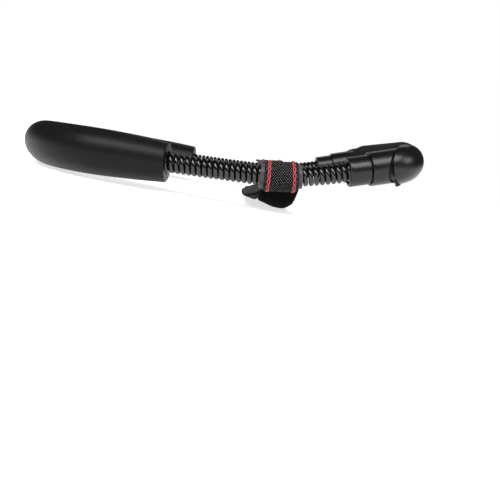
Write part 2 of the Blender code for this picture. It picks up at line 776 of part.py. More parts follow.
def build_grip():
    """Grip tube that turns on the rod, under its foam cover."""
    place = handle_frame() @ Matrix.Translation((CORNER_DISTANCE, 0, 0)) @ along_y()
    tube = ring(GRIP_TUBE_RADIUS, ROD_HOLE_RADIUS, -GRIP_END, GRIP_END)
    outer = GRIP_DIAMETER / 2
    inner = GRIP_TUBE_RADIUS + SEAT_GAP
    cover = [
        (outer - GRIP_EDGE, GRIP_END),
        (outer, GRIP_END - GRIP_EDGE),
        (outer, GRIP_EDGE - GRIP_END),
        (outer - GRIP_EDGE, -GRIP_END),
        (inner, -GRIP_END),
        (inner, GRIP_END),
    ]
    return [
        turned("grip_tube", tube, place, grey_plastic(), hollow=True),
        turned("grip_foam", cover, place, soft_foam(), hollow=True),
    ]


def hang(children, parent):
    """Parent objects to another and keep them where they are."""
    bpy.context.view_layer.update()
    for child in children:
        world = child.matrix_world.copy()
        child.parent = parent
        child.matrix_parent_inverse = parent.matrix_world.inverted()
        child.matrix_world = world
    bpy.context.view_layer.update()


def joint_empty(name, place):
    """Empty on a body's joint axis."""
    empty = bpy.data.objects.new(name, None)
    bpy.data.collections[PARTS].objects.link(empty)
    empty.matrix_world = Matrix.Translation(place.translation)
    return empty


def main():
    clear_scene()
    rear_middle = -HALF_LINER - REAR_SPAN / 2
    front_middle = HALF_LINER + FRONT_SPAN / 2
    grip_axis = handle_frame() @ Matrix.Translation((CORNER_DISTANCE, 0, 0))
    frame = joint_empty("forearm_frame_end", leg_frame())
    cradle = joint_empty("rear_flex_axis", axis_frame(rear_middle))
    handle = joint_empty("front_flex_axis", axis_frame(front_middle))
    grip = joint_empty("grip_axis", grip_axis)
    hang(build_forearm_frame(), frame)
    hang(build_sling(), cradle)
    hang(build_handle(), handle)
    hang(build_grip(), grip)
    hang([grip], handle)
    hang([handle], cradle)
    hang([cradle], frame)


main()
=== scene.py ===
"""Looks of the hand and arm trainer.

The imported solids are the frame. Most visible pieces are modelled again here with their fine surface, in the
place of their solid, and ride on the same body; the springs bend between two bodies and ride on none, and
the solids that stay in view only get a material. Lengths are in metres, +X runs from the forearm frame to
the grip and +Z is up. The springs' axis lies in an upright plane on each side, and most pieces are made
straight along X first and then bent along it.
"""

import logging
import math
from contextlib import contextmanager
from dataclasses import dataclass
from enum import Enum
from typing import Callable, Iterator, Sequence

import bpy
from mathutils import Matrix, Vector
from mathutils.kdtree import KDTree


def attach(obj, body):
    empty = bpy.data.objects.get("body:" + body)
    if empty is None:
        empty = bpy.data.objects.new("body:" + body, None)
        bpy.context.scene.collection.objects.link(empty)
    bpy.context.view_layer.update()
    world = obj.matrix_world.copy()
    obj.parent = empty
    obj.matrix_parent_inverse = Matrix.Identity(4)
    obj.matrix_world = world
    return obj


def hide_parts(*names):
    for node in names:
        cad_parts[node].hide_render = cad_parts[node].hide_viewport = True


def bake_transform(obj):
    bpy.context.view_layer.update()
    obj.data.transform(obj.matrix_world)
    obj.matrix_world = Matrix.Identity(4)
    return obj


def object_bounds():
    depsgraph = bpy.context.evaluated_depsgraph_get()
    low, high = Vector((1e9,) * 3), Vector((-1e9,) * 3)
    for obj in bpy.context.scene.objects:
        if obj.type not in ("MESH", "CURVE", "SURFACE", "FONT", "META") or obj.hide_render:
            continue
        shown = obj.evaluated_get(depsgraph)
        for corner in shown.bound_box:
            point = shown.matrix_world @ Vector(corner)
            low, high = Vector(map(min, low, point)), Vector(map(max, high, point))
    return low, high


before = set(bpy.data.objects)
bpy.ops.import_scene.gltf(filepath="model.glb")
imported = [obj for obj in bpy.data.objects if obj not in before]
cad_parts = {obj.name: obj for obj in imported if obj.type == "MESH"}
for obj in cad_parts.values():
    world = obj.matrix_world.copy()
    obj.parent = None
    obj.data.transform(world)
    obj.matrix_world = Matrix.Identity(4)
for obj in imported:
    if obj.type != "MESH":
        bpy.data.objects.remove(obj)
cad_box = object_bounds()

log = logging.getLogger("trainer")
MM = 0.001
QUARTER_TURN = math.pi / 2
WHITE = (1.0, 1.0, 1.0, 1.0)

Colour = tuple[float, float, float]
Range = tuple[float, float]
Station = tuple[float, float]
Piece = bpy.types.Object
Material = bpy.types.Material
Socket = bpy.types.NodeSocket


class Side(Enum):
    """Side of the part, seen along +X."""

    RIGHT = -1
    LEFT = 1

    @property
    def label(self) -> str:
        """Word that ends the names of the pieces on this side."""
        return self.name.lower()


class Body(Enum):
    """Body of the motion model that a piece rides on."""

    FRAME = "forearm_frame"
    CRADLE = "wrist_cradle"
    HANDLE = "handle_frame"
    GRIP = "grip"


class Bench:
    """Blender's modelling operators, each worked on one piece.

    Attributes:
        MERGE: Points closer than this are merged.
        BEVEL_STEPS: Steps of a rounded edge.
        BEVEL_ANGLE: Edges sharper than this are rounded, in degrees.
    """

    MERGE = 0.005 * MM
    BEVEL_STEPS = 3
    BEVEL_ANGLE = 50.0

    @staticmethod
    def take(piece: Piece) -> None:
        """Make a piece the only selected and the active object.

        Args:
            piece: The object to work on.
        """
        bpy.ops.object.select_all(action="DESELECT")
        piece.select_set(True)
        bpy.context.view_layer.objects.active = piece

    @staticmethod
    @contextmanager
    def editing(piece: Piece) -> Iterator[None]:
        """Keep a piece in edit mode, with all of it selected at the start.

        Args:
            piece: The object to edit.

        Yields:
            Nothing, while edit mode lasts.
        """
        Bench.take(piece)
        bpy.ops.object.mode_set(mode="EDIT")
        bpy.ops.mesh.select_all(action="SELECT")
        yield
        bpy.ops.object.mode_set(mode="OBJECT")

    @staticmethod
    def settle(piece: Piece) -> None:
        """Apply a piece's place to its mesh, so that its object sits at the origin."""
        Bench.take(piece)
        bpy.ops.object.transform_apply(location=True, rotation=True, scale=True)

    @staticmethod
    def put(piece: Piece, place: Matrix) -> None:
        """Move a piece's mesh to the frame that its own axes take."""
        piece.matrix_world = place
        Bench.settle(piece)

    @staticmethod
    def add(name: str, primitive: Callable[..., set[str]], **settings: object) -> Piece:
        """Add a primitive, name it and apply its place.

        Args:
            name: The piece's name.
            primitive: The operator that adds it.
            **settings: The operator's own settings.

        Returns:
            The new object, at the origin.
        """
        bpy.ops.object.select_all(action="DESELECT")
        primitive(**settings)
        piece = bpy.context.object
        piece.name = name
        piece.data.name = name
        Bench.settle(piece)
        return piece

    @staticmethod
    def ring(name: str, radius: float, sides: int, x: float = 0.0) -> Piece:
        """Add a circle of edges square to the X axis.

        Args:
            name: The piece's name.
            radius: Radius of the circle.
            sides: Number of its points.
            x: Place along the axis.

        Returns:
            The circle.
        """
        add_circle = bpy.ops.mesh.primitive_circle_add
        turned = (0, QUARTER_TURN, 0)
        return Bench.add(name, add_circle, vertices=sides, radius=radius, location=(x, 0, 0), rotation=turned)

    @staticmethod
    def turn(name: str, stations: Sequence[Station], sides: int) -> Piece:
        """Model a round hollow piece along X by extruding a circle from station to station.

        Args:
            name: The piece's name.
            stations: Places along X and radii of the section's corners, round to the first again.
            sides: Number of points round the piece.

        Returns:
            The closed piece.
        """
        x, radius = stations[0]
        piece = Bench.ring(name, radius, sides, x)
        with Bench.editing(piece):
            for next_x, next_radius in [*stations[1:], stations[0]]:
                bpy.ops.mesh.extrude_region_move(TRANSFORM_OT_translate={"value": (next_x - x, 0, 0)})
                scale = next_radius / radius
                bpy.ops.transform.resize(value=(1, scale, scale), center_override=(next_x, 0, 0))
                x, radius = next_x, next_radius
        Bench.close(piece)
        return piece

    @staticmethod
    def close(piece: Piece) -> None:
        """Merge doubled points and turn all faces outwards.

        Args:
            piece: The object to mend.
        """
        with Bench.editing(piece):
            bpy.ops.mesh.remove_doubles(threshold=Bench.MERGE)
            bpy.ops.mesh.normals_make_consistent(inside=False)

    @staticmethod
    def cap_ends(piece: Piece) -> None:
        """Fill the open ends of a piece.

        Args:
            piece: The object with open ends.
        """
        with Bench.editing(piece):
            bpy.ops.mesh.fill_holes(sides=0)
            bpy.ops.mesh.normals_make_consistent(inside=False)

    @staticmethod
    def slice(piece: Piece, place: Matrix, keep_front: bool) -> None:
        """Cut a piece at a plane and close the cut.

        Args:
            piece: The object to cut.
            place: Frame on the plane, with its X axis square to it.
            keep_front: True keeps what lies towards the frame's X axis.
        """
        point, normal = place.translation, place.to_3x3().col[0].normalized()
        with Bench.editing(piece):
            bpy.ops.mesh.bisect(
                plane_co=point, plane_no=normal, use_fill=True,
                clear_inner=keep_front, clear_outer=not keep_front,
            )
            bpy.ops.mesh.select_all(action="SELECT")
            bpy.ops.mesh.normals_make_consistent(inside=False)

    @staticmethod
    def modify(piece: Piece, kind: str, **settings: object) -> None:
        """Add a modifier, set it and apply it.

        Args:
            piece: The object to change.
            kind: The modifier's type.
            **settings: Values of the modifier's own settings.
        """
        Bench.take(piece)
        modifier = piece.modifiers.new(kind.lower(), kind)
        for setting, value in settings.items():
            setattr(modifier, setting, value)
        bpy.ops.object.modifier_apply(modifier=modifier.name)

    @staticmethod
    def bend(piece: Piece, route: Sequence[Vector], twist: str = "Z_UP") -> None:
        """Bend a piece that is straight along X, so that its start comes to the route's first point.

        Args:
            piece: The straight object.
            route: Closely spaced points of the line that its axis takes.
            twist: How the guide keeps its sides up.
        """
        data = bpy.data.curves.new("guide", "CURVE")
        data.dimensions = "3D"
        data.twist_mode = twist
        spline = data.splines.new("POLY")
        spline.points.add(len(route) - 1)
        for knot, point in zip(spline.points, route):
            knot.co = (*point, 1.0)
        guide = bpy.data.objects.new("guide", data)
        bpy.context.scene.collection.objects.link(guide)
        bpy.context.view_layer.update()
        Bench.modify(piece, "CURVE", object=guide, deform_axis="POS_X")
        bpy.data.objects.remove(guide, do_unlink=True)

    @staticmethod
    def strand(name: str, route: Sequence[Vector], radius: float, sides: int) -> Piece:
        """Model a round strand along a route.

        Args:
            name: The piece's name.
            route: Closely spaced points of its axis.
            radius: Radius of the strand.
            sides: Number of points round it.

        Returns:
            The closed strand.
        """
        count = len(route) - 1
        step = (sum((end - start).length for start, end in zip(route, route[1:])) / count, 0, 0)
        piece = Bench.ring(name, radius, sides)
        with Bench.editing(piece):
            bpy.ops.mesh.extrude_region_move(TRANSFORM_OT_translate={"value": step})
        Bench.modify(
            piece, "ARRAY", count=count, use_relative_offset=False, use_constant_offset=True,
            constant_offset_displace=step, use_merge_vertices=True, merge_threshold=Bench.MERGE,
        )
        Bench.cap_ends(piece)
        Bench.bend(piece, route, "MINIMUM")
        Bench.smooth(piece, degrees=60)
        return piece

    @staticmethod
    def soften(piece: Piece, width: float) -> None:
        """Round a piece's sharp edges.

        Args:
            piece: The object to round.
            width: Width of the rounding.
        """
        angle = math.radians(Bench.BEVEL_ANGLE)
        steps = Bench.BEVEL_STEPS
        Bench.modify(piece, "BEVEL", width=width, segments=steps, limit_method="ANGLE", angle_limit=angle)

    @staticmethod
    def reshape(piece: Piece, rule: Callable[[Vector], Vector]) -> None:
        """Move every point of a piece by a rule.

        Args:
            piece: The object to shape.
            rule: Gives the new place of a point.
        """
        for point in piece.data.vertices:
            point.co = rule(point.co)
        piece.data.update()

    @staticmethod
    def swell(piece: Piece, pressure: float, frames: int, cap: float) -> None:
        """Blow up a closed piece as cloth, and hold each point near where it was.

        Args:
            piece: The closed object.
            pressure: Pressure inside.
            frames: How long it swells.
            cap: How far a point may move.
        """
        start = [point.co.copy() for point in piece.data.vertices]
        Bench.take(piece)
        cloth = piece.modifiers.new("swelling", "CLOTH")
        cloth.settings.use_pressure = True
        cloth.settings.uniform_pressure_force = pressure
        cloth.settings.effector_weights.gravity = 0.0
        scene = bpy.context.scene
        for number in range(1, frames + 1):
            scene.frame_set(number)
        bpy.ops.object.modifier_apply(modifier=cloth.name)
        scene.frame_set(1)
        for point, origin in zip(piece.data.vertices, start):
            move = point.co - origin
            if move.length > cap:
                point.co = origin + move * (cap / move.length)
        piece.data.update()

    @staticmethod
    def smooth(piece: Piece, degrees: float = 40.0) -> None:
        """Shade a piece smooth between its sharp edges.

        Args:
            piece: The object to shade.
            degrees: Edges sharper than this stay sharp.
        """
        Bench.take(piece)
        bpy.ops.object.shade_smooth_by_angle(angle=math.radians(degrees))

    @staticmethod
    def wrap(piece: Piece, radius: float) -> None:
        """Give a straight round piece a UV map in metres: U round its axis, V along it.

        Args:
            piece: The object, straight along X.
            radius: Radius at which U is measured.
        """
        mesh = piece.data
        while mesh.uv_layers:
            mesh.uv_layers.remove(mesh.uv_layers[0])
        layer = mesh.uv_layers.new(name="wrap")
        for polygon in mesh.polygons:
            first = None
            for index in polygon.loop_indices:
                point = mesh.vertices[mesh.loops[index].vertex_index].co
                angle = math.atan2(point.y, point.z)
                first = angle if first is None else first
                angle += math.tau * round((first - angle) / math.tau)
                layer.data[index].uv = (angle * radius, point.x)


class Paint:
    """Node tree of a material or a world, with a short call for each kind of node.

    Attributes:
        NUMBERS: Which inputs of a Mix node are its share and its two numbers.
        COLOURS: Which inputs are its share and its two colours.
    """

    NUMBERS = (0, 2, 3)
    COLOURS = (0, 6, 7)

    def __init__(self, owner: Material | bpy.types.World) -> None:
        """Start on an owner's own nodes.

        Args:
            owner: The new material or world.
        """
        owner.use_nodes = True
        self.owner = owner
        self.tree = owner.node_tree

    @classmethod
    def start(cls, name: str) -> "Paint":
        """Start a new material that holds one Principled shader."""
        return cls(bpy.data.materials.new(name))

    def node(self, kind: str, inputs: dict[str | int, object], **settings: object) -> bpy.types.Node:
        """Add a node.

        Args:
            kind: The node's type, without its first word.
            inputs: Values or sockets for its inputs.
            **settings: Values of its own settings.

        Returns:
            The new node.
        """
        made = self.tree.nodes.new("ShaderNode" + kind)
        for setting, value in settings.items():
            setattr(made, setting, value)
        for name, value in inputs.items():
            self.feed(made.inputs[name], value)
        return made

    def feed(self, socket: Socket, value: object) -> None:
        """Link a socket to another, or set its value.

        Args:
            socket: The input.
            value: A socket or a plain value.
        """
        if isinstance(value, bpy.types.NodeSocket):
            self.tree.links.new(value, socket)
        else:
            socket.default_value = value

    def finish(self, **values: object) -> Material:
        """Set or link the shader's inputs.

        Args:
            **values: Values or sockets, with _ for a space in the inputs' names.

        Returns:
            The finished material.
        """
        inputs = self.tree.nodes["Principled BSDF"].inputs
        for name, value in values.items():
            self.feed(inputs[name.replace("_", " ")], value)
        return self.owner

    def where(self, wrapped: bool = False) -> Socket:
        """Place on the piece: its own UV map if it is wrapped, or the object's coordinates."""
        return self.node("TexCoord", {}).outputs["UV" if wrapped else "Object"]

    def noise(self, scale: float, detail: float = 2.0) -> Socket:
        """Noise from 0 to 1, its scale in waves to the metre."""
        inputs = {"Vector": self.where(), "Scale": scale, "Detail": detail}
        return self.node("TexNoise", inputs).outputs["Fac"]

    def maths(self, operation: str, *values: object) -> Socket:
        """Result of a Math node on one or two values."""
        return self.node("Math", dict(enumerate(values)), operation=operation).outputs[0]

    def spread(self, value: Socket, low: float, high: float, start: float = 0.0, end: float = 1.0) -> Socket:
        """Map a value from start..end to low..high, clamped."""
        inputs = {"Value": value, "From Min": start, "From Max": end, "To Min": low, "To Max": high}
        return self.node("MapRange", inputs).outputs["Result"]

    def between(self, share: Socket, low: float | Socket, high: float | Socket) -> Socket:
        """Number between two, by a share from 0 to 1."""
        return self.node("Mix", dict(zip(self.NUMBERS, (share, low, high)))).outputs[0]

    def mix(
        self, share: float | Socket, low: Colour | Socket, high: Colour | Socket, **settings: object
    ) -> Socket:
        """Mix two colours.

        Args:
            share: Share of the second one, from 0 to 1.
            low: The first colour.
            high: The second one.
            **settings: Values of the node's own settings.

        Returns:
            The mixed colour.
        """
        ends = [(*end, 1.0) if isinstance(end, tuple) else end for end in (low, high)]
        inputs = dict(zip(self.COLOURS, (share, *ends)))
        return self.node("Mix", inputs, data_type="RGBA", **settings).outputs[2]

    def bump(self, height: Socket, depth: float, under: Socket | None = None) -> Socket:
        """Normal of a surface with relief.

        Args:
            height: Relief from 0 to 1.
            depth: Its depth in metres.
            under: Normal of a relief below this one.

        Returns:
            The normal.
        """
        inputs = {"Height": height, "Distance": depth, "Strength": 1.0}
        if under:
            inputs["Normal"] = under
        return self.node("Bump", inputs).outputs["Normal"]


def shades(colour: Colour, factors: Range) -> tuple[Colour, ...]:
    """A colour made darker and lighter by two factors."""
    return tuple(tuple(channel * factor for channel in colour) for factor in factors)


@dataclass(frozen=True)
class MouldedPlastic:
    """Moulded plastic with a fine satin grain.

    Attributes:
        name: The material's name.
        colour: Its colour, linear.
        roughness: Lowest and highest roughness.
        gloss: Specular level of the shader.
        tones: Factors of the darkest and the lightest places.
    """

    name: str
    colour: Colour
    roughness: Range
    gloss: float
    tones: Range = (0.8, 1.25)
    cloud_scale: float = 90.0
    grain_scale: float = 5200.0
    grain_depth: float = 0.006 * MM

    def build(self) -> Material:
        """Make the material.

        Returns:
            The material.
        """
        paint = Paint.start(self.name)
        cloud = paint.noise(self.cloud_scale, detail=3.0)
        grain = paint.noise(self.grain_scale)
        return paint.finish(
            Base_Color=paint.mix(cloud, *shades(self.colour, self.tones)),
            Roughness=paint.spread(cloud, *self.roughness),
            Specular_IOR_Level=self.gloss,
            Normal=paint.bump(grain, self.grain_depth),
        )


@dataclass(frozen=True)
class FoamSkin:
    """Closed-cell foam with a smooth matte skin and fine pores.

    Attributes:
        name: The material's name.
        colour: Its colour, linear.
        roughness: Lowest and highest roughness.
        gloss: Specular level of the shader.
        tones: Factors of the darkest and the lightest places.
        speckle: Factors of the pores and of what lies between them.
        pore_window: Values of the noise that the speckle runs between.
    """

    name: str
    colour: Colour
    roughness: Range
    gloss: float
    tones: Range = (0.85, 1.15)
    speckle: Range = (0.85, 1.12)
    pore_window: Range = (0.35, 0.65)
    cloud_scale: float = 40.0
    pore_scale: float = 2600.0
    pore_depth: float = 0.02 * MM

    def build(self) -> Material:
        """Make the material.

        Returns:
            The material.
        """
        paint = Paint.start(self.name)
        cloud = paint.noise(self.cloud_scale, detail=4.0)
        pores = paint.noise(self.pore_scale, detail=3.0)
        speckle = paint.spread(pores, *self.speckle, *self.pore_window)
        tone = paint.mix(cloud, *shades(self.colour, self.tones))
        return paint.finish(
            Base_Color=paint.mix(1.0, tone, speckle, blend_type="MULTIPLY"),
            Roughness=paint.spread(cloud, *self.roughness),
            Specular_IOR_Level=self.gloss,
            Normal=paint.bump(pores, self.pore_depth),
        )


@dataclass(frozen=True)
class SpringCoat:
    """Gloss black coating on steel wire, a little uneven as it has flowed."""

    name: str = "spring_coat"
    colour: Colour = (0.0035, 0.0035, 0.004)
    tones: Range = (0.7, 1.3)
    roughness: Range = (0.08, 0.17)
    gloss: float = 0.65
    flow_scale: float = 260.0
    fine_scale: float = 3120.0
    fine_depth: float = 0.005 * MM

    def build(self) -> Material:
        """Make the material.

        Returns:
            The material.
        """
        paint = Paint.start(self.name)
        flow = paint.noise(self.flow_scale, detail=3.0)
        fine = paint.noise(self.fine_scale)
        return paint.finish(
            Base_Color=paint.mix(flow, *shades(self.colour, self.tones)),
            Roughness=paint.spread(flow, *self.roughness),
            Specular_IOR_Level=self.gloss,
            Normal=paint.bump(fine, self.fine_depth),
        )


@dataclass(frozen=True)
class DrawnSteel:
    """Bare drawn or turned steel with a fine grain."""

    name: str
    colour: Colour = (0.55, 0.56, 0.58)
    tones: Range = (0.8, 1.0)
    roughness: Range = (0.24, 0.42)
    grain_scale: float = 900.0
    grain_depth: float = 0.008 * MM

    def build(self) -> Material:
        """Make the material.

        Returns:
            The material.
        """
        paint = Paint.start(self.name)
        grain = paint.noise(self.grain_scale, detail=6.0)
        return paint.finish(
            Base_Color=paint.mix(grain, *shades(self.colour, self.tones)),
            Roughness=paint.spread(grain, *self.roughness),
            Metallic=1.0,
            Normal=paint.bump(grain, self.grain_depth),
        )


@dataclass(frozen=True)
class DiamondWebbing:
    """Black knitted tape whose ribs cross each other in small diamonds, with a painted highlight on the
    crossings.

    Attributes:
        name: The material's name.
        dark: Colour between the ribs, linear.
        light: Colour of the painted highlight on the crossings, the tops of the ribs.
        round_pitch: Height of a diamond round the loop.
        along_pitch: Its width along the loop.
        crossing_window: Heights of the ribs between which the painted highlight comes in.
        yarn_tones: Factors of the darkest and the lightest yarns, by which the painted highlight is broken
            up.
        yarn_window: Values of the noise that the yarns run between.
    """

    name: str
    dark: Colour = (0.0018, 0.0018, 0.0018)
    light: Colour = (0.36, 0.365, 0.35)
    round_pitch: float = 2.32 * MM
    along_pitch: float = 1.79 * MM
    crossing_window: Range = (0.74, 0.99)
    yarn_scale: float = 5200.0
    yarn_tones: Range = (0.55, 1.0)
    yarn_window: Range = (0.3, 0.6)
    roughness: Range = (0.5, 0.75)
    gloss: float = 0.03
    rib_depth: float = 0.12 * MM
    yarn_depth: float = 0.03 * MM

    def rib(self, around: float, along: float) -> float:
        """Height of the knit at a place on the loop.

        Args:
            around: Distance round the loop.
            along: Distance along it.

        Returns:
            The height, from 0 to 1.
        """
        turn, step = around / self.round_pitch, along / self.along_pitch
        return abs(math.sin(math.pi * (turn + step))) * abs(math.sin(math.pi * (turn - step)))

    def build(self) -> Material:
        """Make the material.

        Returns:
            The material.
        """
        paint = Paint.start(self.name)
        parts = paint.node("SeparateXYZ", {"Vector": paint.where(wrapped=True)}).outputs
        around = paint.maths("MULTIPLY", parts[0], math.pi / self.round_pitch)
        along = paint.maths("MULTIPLY", parts[1], math.pi / self.along_pitch)
        ribs = [
            paint.maths("ABSOLUTE", paint.maths("SINE", paint.maths(way, around, along)))
            for way in ("ADD", "SUBTRACT")
        ]
        crossing = paint.maths("MULTIPLY", *ribs)
        yarn = paint.noise(self.yarn_scale)
        # Painted highlight: the light colour goes on the tops of the rib crossings, broken up by the yarn
        # noise.
        bright = paint.spread(crossing, 0.0, 1.0, *self.crossing_window)
        glint = paint.maths("MULTIPLY", bright, paint.spread(yarn, *self.yarn_tones, *self.yarn_window))
        return paint.finish(
            Base_Color=paint.mix(glint, self.dark, self.light),
            Roughness=paint.spread(yarn, *self.roughness),
            Specular_IOR_Level=self.gloss,
            Normal=paint.bump(yarn, self.yarn_depth, paint.bump(crossing, self.rib_depth)),
        )


@dataclass(frozen=True)
class SewingThread:
    """Red thread of twisted strands, with painted shade in the hollows between them and a random cloud of
    tone.
    """

    name: str = "red_thread"
    dark: Colour = (0.34, 0.012, 0.026)
    light: Colour = (0.68, 0.075, 0.105)
    strand_scale: float = 2400.0
    strand_depth: float = 0.08 * MM
    cloud_scale: float = 400.0
    cloud_tones: Range = (0.8, 1.6)
    roughness: float = 0.55
    sheen: float = 0.2
    sheen_roughness: float = 0.4

    def build(self) -> Material:
        """Make the material.

        Returns:
            The material.
        """
        paint = Paint.start(self.name)
        strands = paint.noise(self.strand_scale)
        cloud = paint.spread(paint.noise(self.cloud_scale), *self.cloud_tones)
        # Painted shade: the red is darkest where the strands' relief is lowest, times a random cloud of real
        # tone.
        return paint.finish(
            Base_Color=paint.mix(paint.maths("MULTIPLY", strands, cloud), self.dark, self.light),
            Roughness=self.roughness,
            Sheen_Weight=self.sheen,
            Sheen_Roughness=self.sheen_roughness,
            Normal=paint.bump(strands, self.strand_depth),
        )


@dataclass(frozen=True)
class WovenCloth:
    """Woven or knitted cloth with fine yarns both ways, with painted shade in the hollows of the weave.

    Attributes:
        name: The material's name.
        colour: Its colour, linear.
        yarn: Yarns to the metre.
        relief: Depth of the weave.
        weave_share: Share of the relief that is weave; the rest is fuzz.
        fuzz_scale: Waves of the fuzz to one yarn.
    """

    name: str
    colour: Colour
    yarn: float
    relief: float
    roughness: float
    sheen: float
    gloss: float = 0.25
    sheen_roughness: float = 0.5
    tones: Range = (0.6, 1.5)
    weave_share: float = 0.6
    fuzz_scale: float = 2.2
    cloud_scale: float = 55.0
    cloud_tones: Range = (0.8, 1.3)

    def build(self) -> Material:
        """Make the material.

        Returns:
            The material.
        """
        paint = Paint.start(self.name)
        parts = paint.node("SeparateXYZ", {"Vector": paint.where()}).outputs
        turns = self.yarn * math.pi
        waves = [paint.maths("SINE", paint.maths("MULTIPLY", part, turns)) for part in (parts[0], parts[1])]
        weave = paint.spread(paint.maths("MULTIPLY", *waves), 0.0, 1.0, -1.0, 1.0)
        fuzz = paint.noise(self.yarn * self.fuzz_scale, detail=3.0)
        cloud = paint.spread(paint.noise(self.cloud_scale, detail=3.0), *self.cloud_tones)
        height = paint.maths(
            "ADD", paint.maths("MULTIPLY", weave, self.weave_share),
            paint.maths("MULTIPLY", fuzz, 1 - self.weave_share),
        )
        # Painted shade: the colour follows the relief of weave and fuzz, darkest in its hollows, times a
        # random cloud of real tone.
        return paint.finish(
            Base_Color=paint.mix(paint.maths("MULTIPLY", height, cloud), *shades(self.colour, self.tones)),
            Roughness=self.roughness,
            Specular_IOR_Level=self.gloss,
            Sheen_Weight=self.sheen,
            Sheen_Roughness=self.sheen_roughness,
            Normal=paint.bump(height, self.relief),
        )


@dataclass(frozen=True)
class SpringAxis:
    """Centre line of each spring in its upright plane, from the foam's end to the handle.

    Distances are measured along it from the middle of the wrist strap.

    Attributes:
        height: Height of the axis over the rest face, at the strap's middle.
        spacing: Distance between the two springs.
        liner: Length of the collar, on which the spring stays nearly straight.
        rear_span: Free length behind the collar.
        front_span: Free length in front of it.
        slopes: Slopes in degrees at the foam's end, the collar's two ends and the handle.
        rod: Distance of the grip's rod from the ferrule's mouth.
        step: Longest step in which the line is summed.
    """

    height: float = 28.5 * MM
    spacing: float = 130.0 * MM
    liner: float = 31.0 * MM
    rear_span: float = 68.5 * MM
    front_span: float = 34.0 * MM
    slopes: tuple[float, float, float, float] = (2.78, 4.45, 13.75, 19.55)
    rod: float = 46.1 * MM
    step: float = 0.5 * MM

    @property
    def foam_end(self) -> float:
        """Distance of the foam's open end."""
        return -self.liner / 2 - self.rear_span

    @property
    def handle_start(self) -> float:
        """Distance of the ferrule's mouth."""
        return self.liner / 2 + self.front_span

    @property
    def half_spacing(self) -> float:
        """Distance of each spring from the middle plane."""
        return self.spacing / 2

    def slope(self, distance: float) -> float:
        """Slope at a distance.

        Args:
            distance: Distance along the axis.

        Returns:
            The slope, in radians.
        """
        knots = (self.foam_end, -self.liner / 2, self.liner / 2, self.handle_start)
        held = min(max(distance, knots[0]), knots[-1])
        for start, end, low, high in zip(knots, knots[1:], self.slopes, self.slopes[1:]):
            if held <= end:
                return math.radians(low + (high - low) * (held - start) / (end - start))
        return math.radians(self.slopes[-1])

    def point(self, distance: float) -> tuple[float, float]:
        """Point of the axis.

        Args:
            distance: Distance along it.

        Returns:
            Its X and Z.
        """
        steps = max(1, math.ceil(abs(distance) / self.step))
        size = distance / steps
        x, z = 0.0, self.height
        for index in range(steps):
            slope = self.slope((index + 0.5) * size)
            x += size * math.cos(slope)
            z += size * math.sin(slope)
        return x, z

    def place(self, distance: float, side: Side | None = None) -> Matrix:
        """Frame on the axis: X along it, Y across and Z square to both.

        Args:
            distance: Distance along the axis.
            side: Side of the part, or None for the middle plane.

        Returns:
            The frame.
        """
        x, z = self.point(distance)
        y = side.value * self.half_spacing if side else 0.0
        return Matrix.Translation((x, y, z)) @ Matrix.Rotation(-self.slope(distance), 4, "Y")

    def handle(self, side: Side | None = None) -> Matrix:
        """Frame at the ferrule's mouth, whose X axis is the handle's axis."""
        return self.place(self.handle_start, side)

    def route(self, start: float, end: float, side: Side) -> list[Vector]:
        """Closely spaced points from one distance to another.

        Args:
            start: First distance.
            end: Last distance.
            side: Side of the part.

        Returns:
            The points.
        """
        steps = math.ceil((end - start) / (2 * self.step))
        distances = [start + (end - start) * index / steps for index in range(steps + 1)]
        return [self.place(distance, side).translation for distance in distances]


def ease(share: float) -> float:
    """Smooth step from 0 to 1."""
    return share * share * (3 - 2 * share)


def plain(radius: float) -> Callable[[float], float]:
    """The same radius at every place."""
    return lambda place: radius


def paired(name: str) -> tuple[str, str]:
    """Names of the right and left nodes of a pair."""
    return f"{name}_right", f"{name}_left"


def tree_of(points: Sequence[Vector]) -> KDTree:
    """Make a search tree.

    Args:
        points: The points to search.

    Returns:
        The tree.
    """
    tree = KDTree(len(points))
    for index, point in enumerate(points):
        tree.insert(point, index)
    tree.balance()
    return tree


def rounding(end: float, radius: float, edge: float, steps: int, last: bool = False) -> list[Station]:
    """Stations of a rounded outer edge, for Bench.turn.

    Args:
        end: Place of the end face along X.
        radius: Radius beside the edge.
        edge: Radius of the rounding.
        steps: Its steps.
        last: False rises from the first end of a piece, True falls to its last end.

    Returns:
        The stations, in the order of X.
    """
    turns = [QUARTER_TURN * index / steps for index in range(steps + 1)]
    inwards = -1 if last else 1
    arc = [
        (end + inwards * edge * (1 - math.cos(turn)), radius - edge * (1 - math.sin(turn))) for turn in turns
    ]
    return arc[::-1] if last else arc


def rounded_ring(
    outer: Callable[[float], float], inner: float, start: float, end: float, edge: float,
    steps: int, edge_steps: int = 3,
) -> list[Station]:
    """Stations of a ring along X with rounded outer edges, for Bench.turn.

    Args:
        outer: Outer radius at a place along X.
        inner: Inner radius.
        start: First place along X.
        end: Last place along X.
        edge: Radius of the outer edges.
        steps: Parts that the walls are divided into along X.
        edge_steps: Steps of each rounding.

    Returns:
        The stations, from the inner start out, along, in and back.
    """
    first = rounding(start, outer(start + edge), edge, edge_steps)
    walls = [start + edge + (end - start - 2 * edge) * index / steps for index in range(1, steps)]
    last = rounding(end, outer(end - edge), edge, edge_steps, last=True)
    back = [(x, inner) for x in reversed(walls)]
    return [(start, inner), *first, *[(x, outer(x)) for x in walls], *last, (end, inner), *back]


